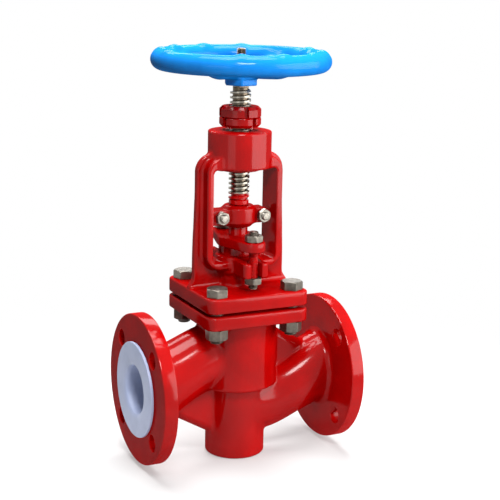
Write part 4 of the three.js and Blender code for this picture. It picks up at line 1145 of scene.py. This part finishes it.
def wheel_fasteners():
    """The washer and the nut on the screw's upper end."""
    low, high = span("handwheel_washer")
    profile = ring_profile(STUD_RADIUS + GAP, WASHER_RADIUS, low[2], high[2])
    washer = lathe(profile, 0.3, 64)
    low, high = span("handwheel_nut")
    nut = hexagon(STUD_HEX, low[2], high[2], hole=STUD_RADIUS - 0.1, turn=0.2)
    for node, shape in (("handwheel_washer", washer), ("handwheel_nut", nut)):
        piece(f"{node}_turned", node, shape, "screw_and_handwheel", bright_steel)


# Inner pieces


def inner_pieces():
    """They keep their CAD shape and take a finish."""
    finishes = {
        "bonnet_liner": lining, "valve_disc": lining, "packing_base_ring": bright_steel,
        "disc_pin": bright_steel, "thrust_washer": bronze, "yoke_nut_set_screw": dark_steel,
    }
    for node, made in frame["nodes"].items():
        if made.hide_render:
            continue
        material = packing if node.startswith("packing_ring") else finishes[node]
        made.data.materials.clear()
        made.data.materials.append(material)


# Stage, lights and camera


def floor():
    """A square floor that gives way to the white round it some way from the valve."""
    half, level = 1.2, -0.0005
    corners = [(x * half, y * half, level) for x, y in ((-1, -1), (1, -1), (1, 1), (-1, 1))]
    mesh = bpy.data.meshes.new("floor")
    mesh.from_pydata(corners, [], [(0, 1, 2, 3)])
    finish = Finish("floor_paint")
    tone = finish.mixed(finish.noise(3, 2, 0.5), (0.37, 0.37, 0.37), (0.39, 0.39, 0.39))
    away = finish.length(finish.place)
    mesh.materials.append(finish.surface(
        Base_Color=tone, Roughness=0.9, Specular_IOR_Level=0.0, Alpha=1 - away.between(0.1, 0.6),
        Emission_Color=(1.0, 1.0, 1.0), Emission_Strength=0.35,
    ))
    placed("floor", mesh)


def world():
    """White where it is seen directly or in a reflection, and a softer light elsewhere."""
    made = bpy.data.worlds.new("studio")
    bpy.context.scene.world = made
    made.use_nodes = True
    tree = made.node_tree
    background = tree.nodes["Background"]
    background.inputs["Color"].default_value = (1, 1, 1, 1)
    path = tree.nodes.new("ShaderNodeLightPath")
    seen = path.outputs["Is Camera Ray"]
    for name in ("Is Glossy Ray", "Is Transmission Ray"):
        larger = tree.nodes.new("ShaderNodeMath")
        larger.operation = "MAXIMUM"
        tree.links.new(seen, larger.inputs[0])
        tree.links.new(path.outputs[name], larger.inputs[1])
        seen = larger.outputs[0]
    strength = tree.nodes.new("ShaderNodeMapRange")
    strength.inputs["To Min"].default_value = 0.06
    strength.inputs["To Max"].default_value = 1.0
    tree.links.new(seen, strength.inputs["Value"])
    tree.links.new(strength.outputs[0], background.inputs["Strength"])


def softbox(name, place, target, size, power):
    """An area lamp at a place in metres, turned towards a target."""
    lamp = bpy.data.lights.new(name, "AREA")
    lamp.shape = "RECTANGLE"
    lamp.size, lamp.size_y = size
    lamp.energy = power
    aim = (Vector(target) - Vector(place)).to_track_quat("-Z", "Y")
    placed(name, lamp).matrix_world = Matrix.Translation(place) @ aim.to_matrix().to_4x4()


def lights():
    """A window on the right, a faint panel on the left, a lamp on the yoke, and soft light from
    behind and above."""
    middle, yoke_head = (0, 0, 0.22), (0, 0, 0.33)
    softbox("right_window", (0.80, -0.62, 0.42), middle, (1.35, 0.8), 20)
    softbox("left_panel", (-1.0, -0.75, 0.3), middle, (0.6, 0.5), 1.2)
    softbox("front_lamp", (-0.22, -0.62, 0.82), yoke_head, (0.25, 0.2), 6)
    softbox("rear_panel", (0.3, 0.95, 1.05), middle, (0.9, 0.4), 20)
    softbox("top_softbox", (0.0, 0.1, 1.7), middle, (1.1, 0.9), 44)


def camera():
    """The photograph's camera: its place, its direction by yaw and pitch, its roll and its lens,
    as worked out from the flanges, the plates, the yoke and the wheel."""
    place = (-0.55606, -1.15878, 0.52213)
    yaw, pitch, roll = math.radians(26.2164), math.radians(13.0312), 0.0209082597
    focal_pixels, picture_pixels = 1240.64, 500
    data = bpy.data.cameras.new("camera")
    data.sensor_width = 36
    data.lens = data.sensor_width * focal_pixels / picture_pixels
    made = placed("camera", data)
    turns = ((-yaw, "Z"), (math.pi / 2 - pitch, "X"), (roll, "Z"))
    matrix = Matrix.Translation(place)
    for angle, axis in turns:
        matrix = matrix @ Matrix.Rotation(angle, 4, axis)
    made.matrix_world = matrix
    bpy.context.scene.camera = made


camera()
body_casting()
body_lining()
bonnet_yoke()
bonnet_fasteners()
gland_flange()
gland_follower()
gland_fasteners()
lower_stem()
clamp()
stem_screw()
lock_nuts()
yoke_nut()
handwheel()
wheel_fasteners()
inner_pieces()
floor()
world()
lights()
bpy.context.scene.view_settings.view_transform = "Standard"
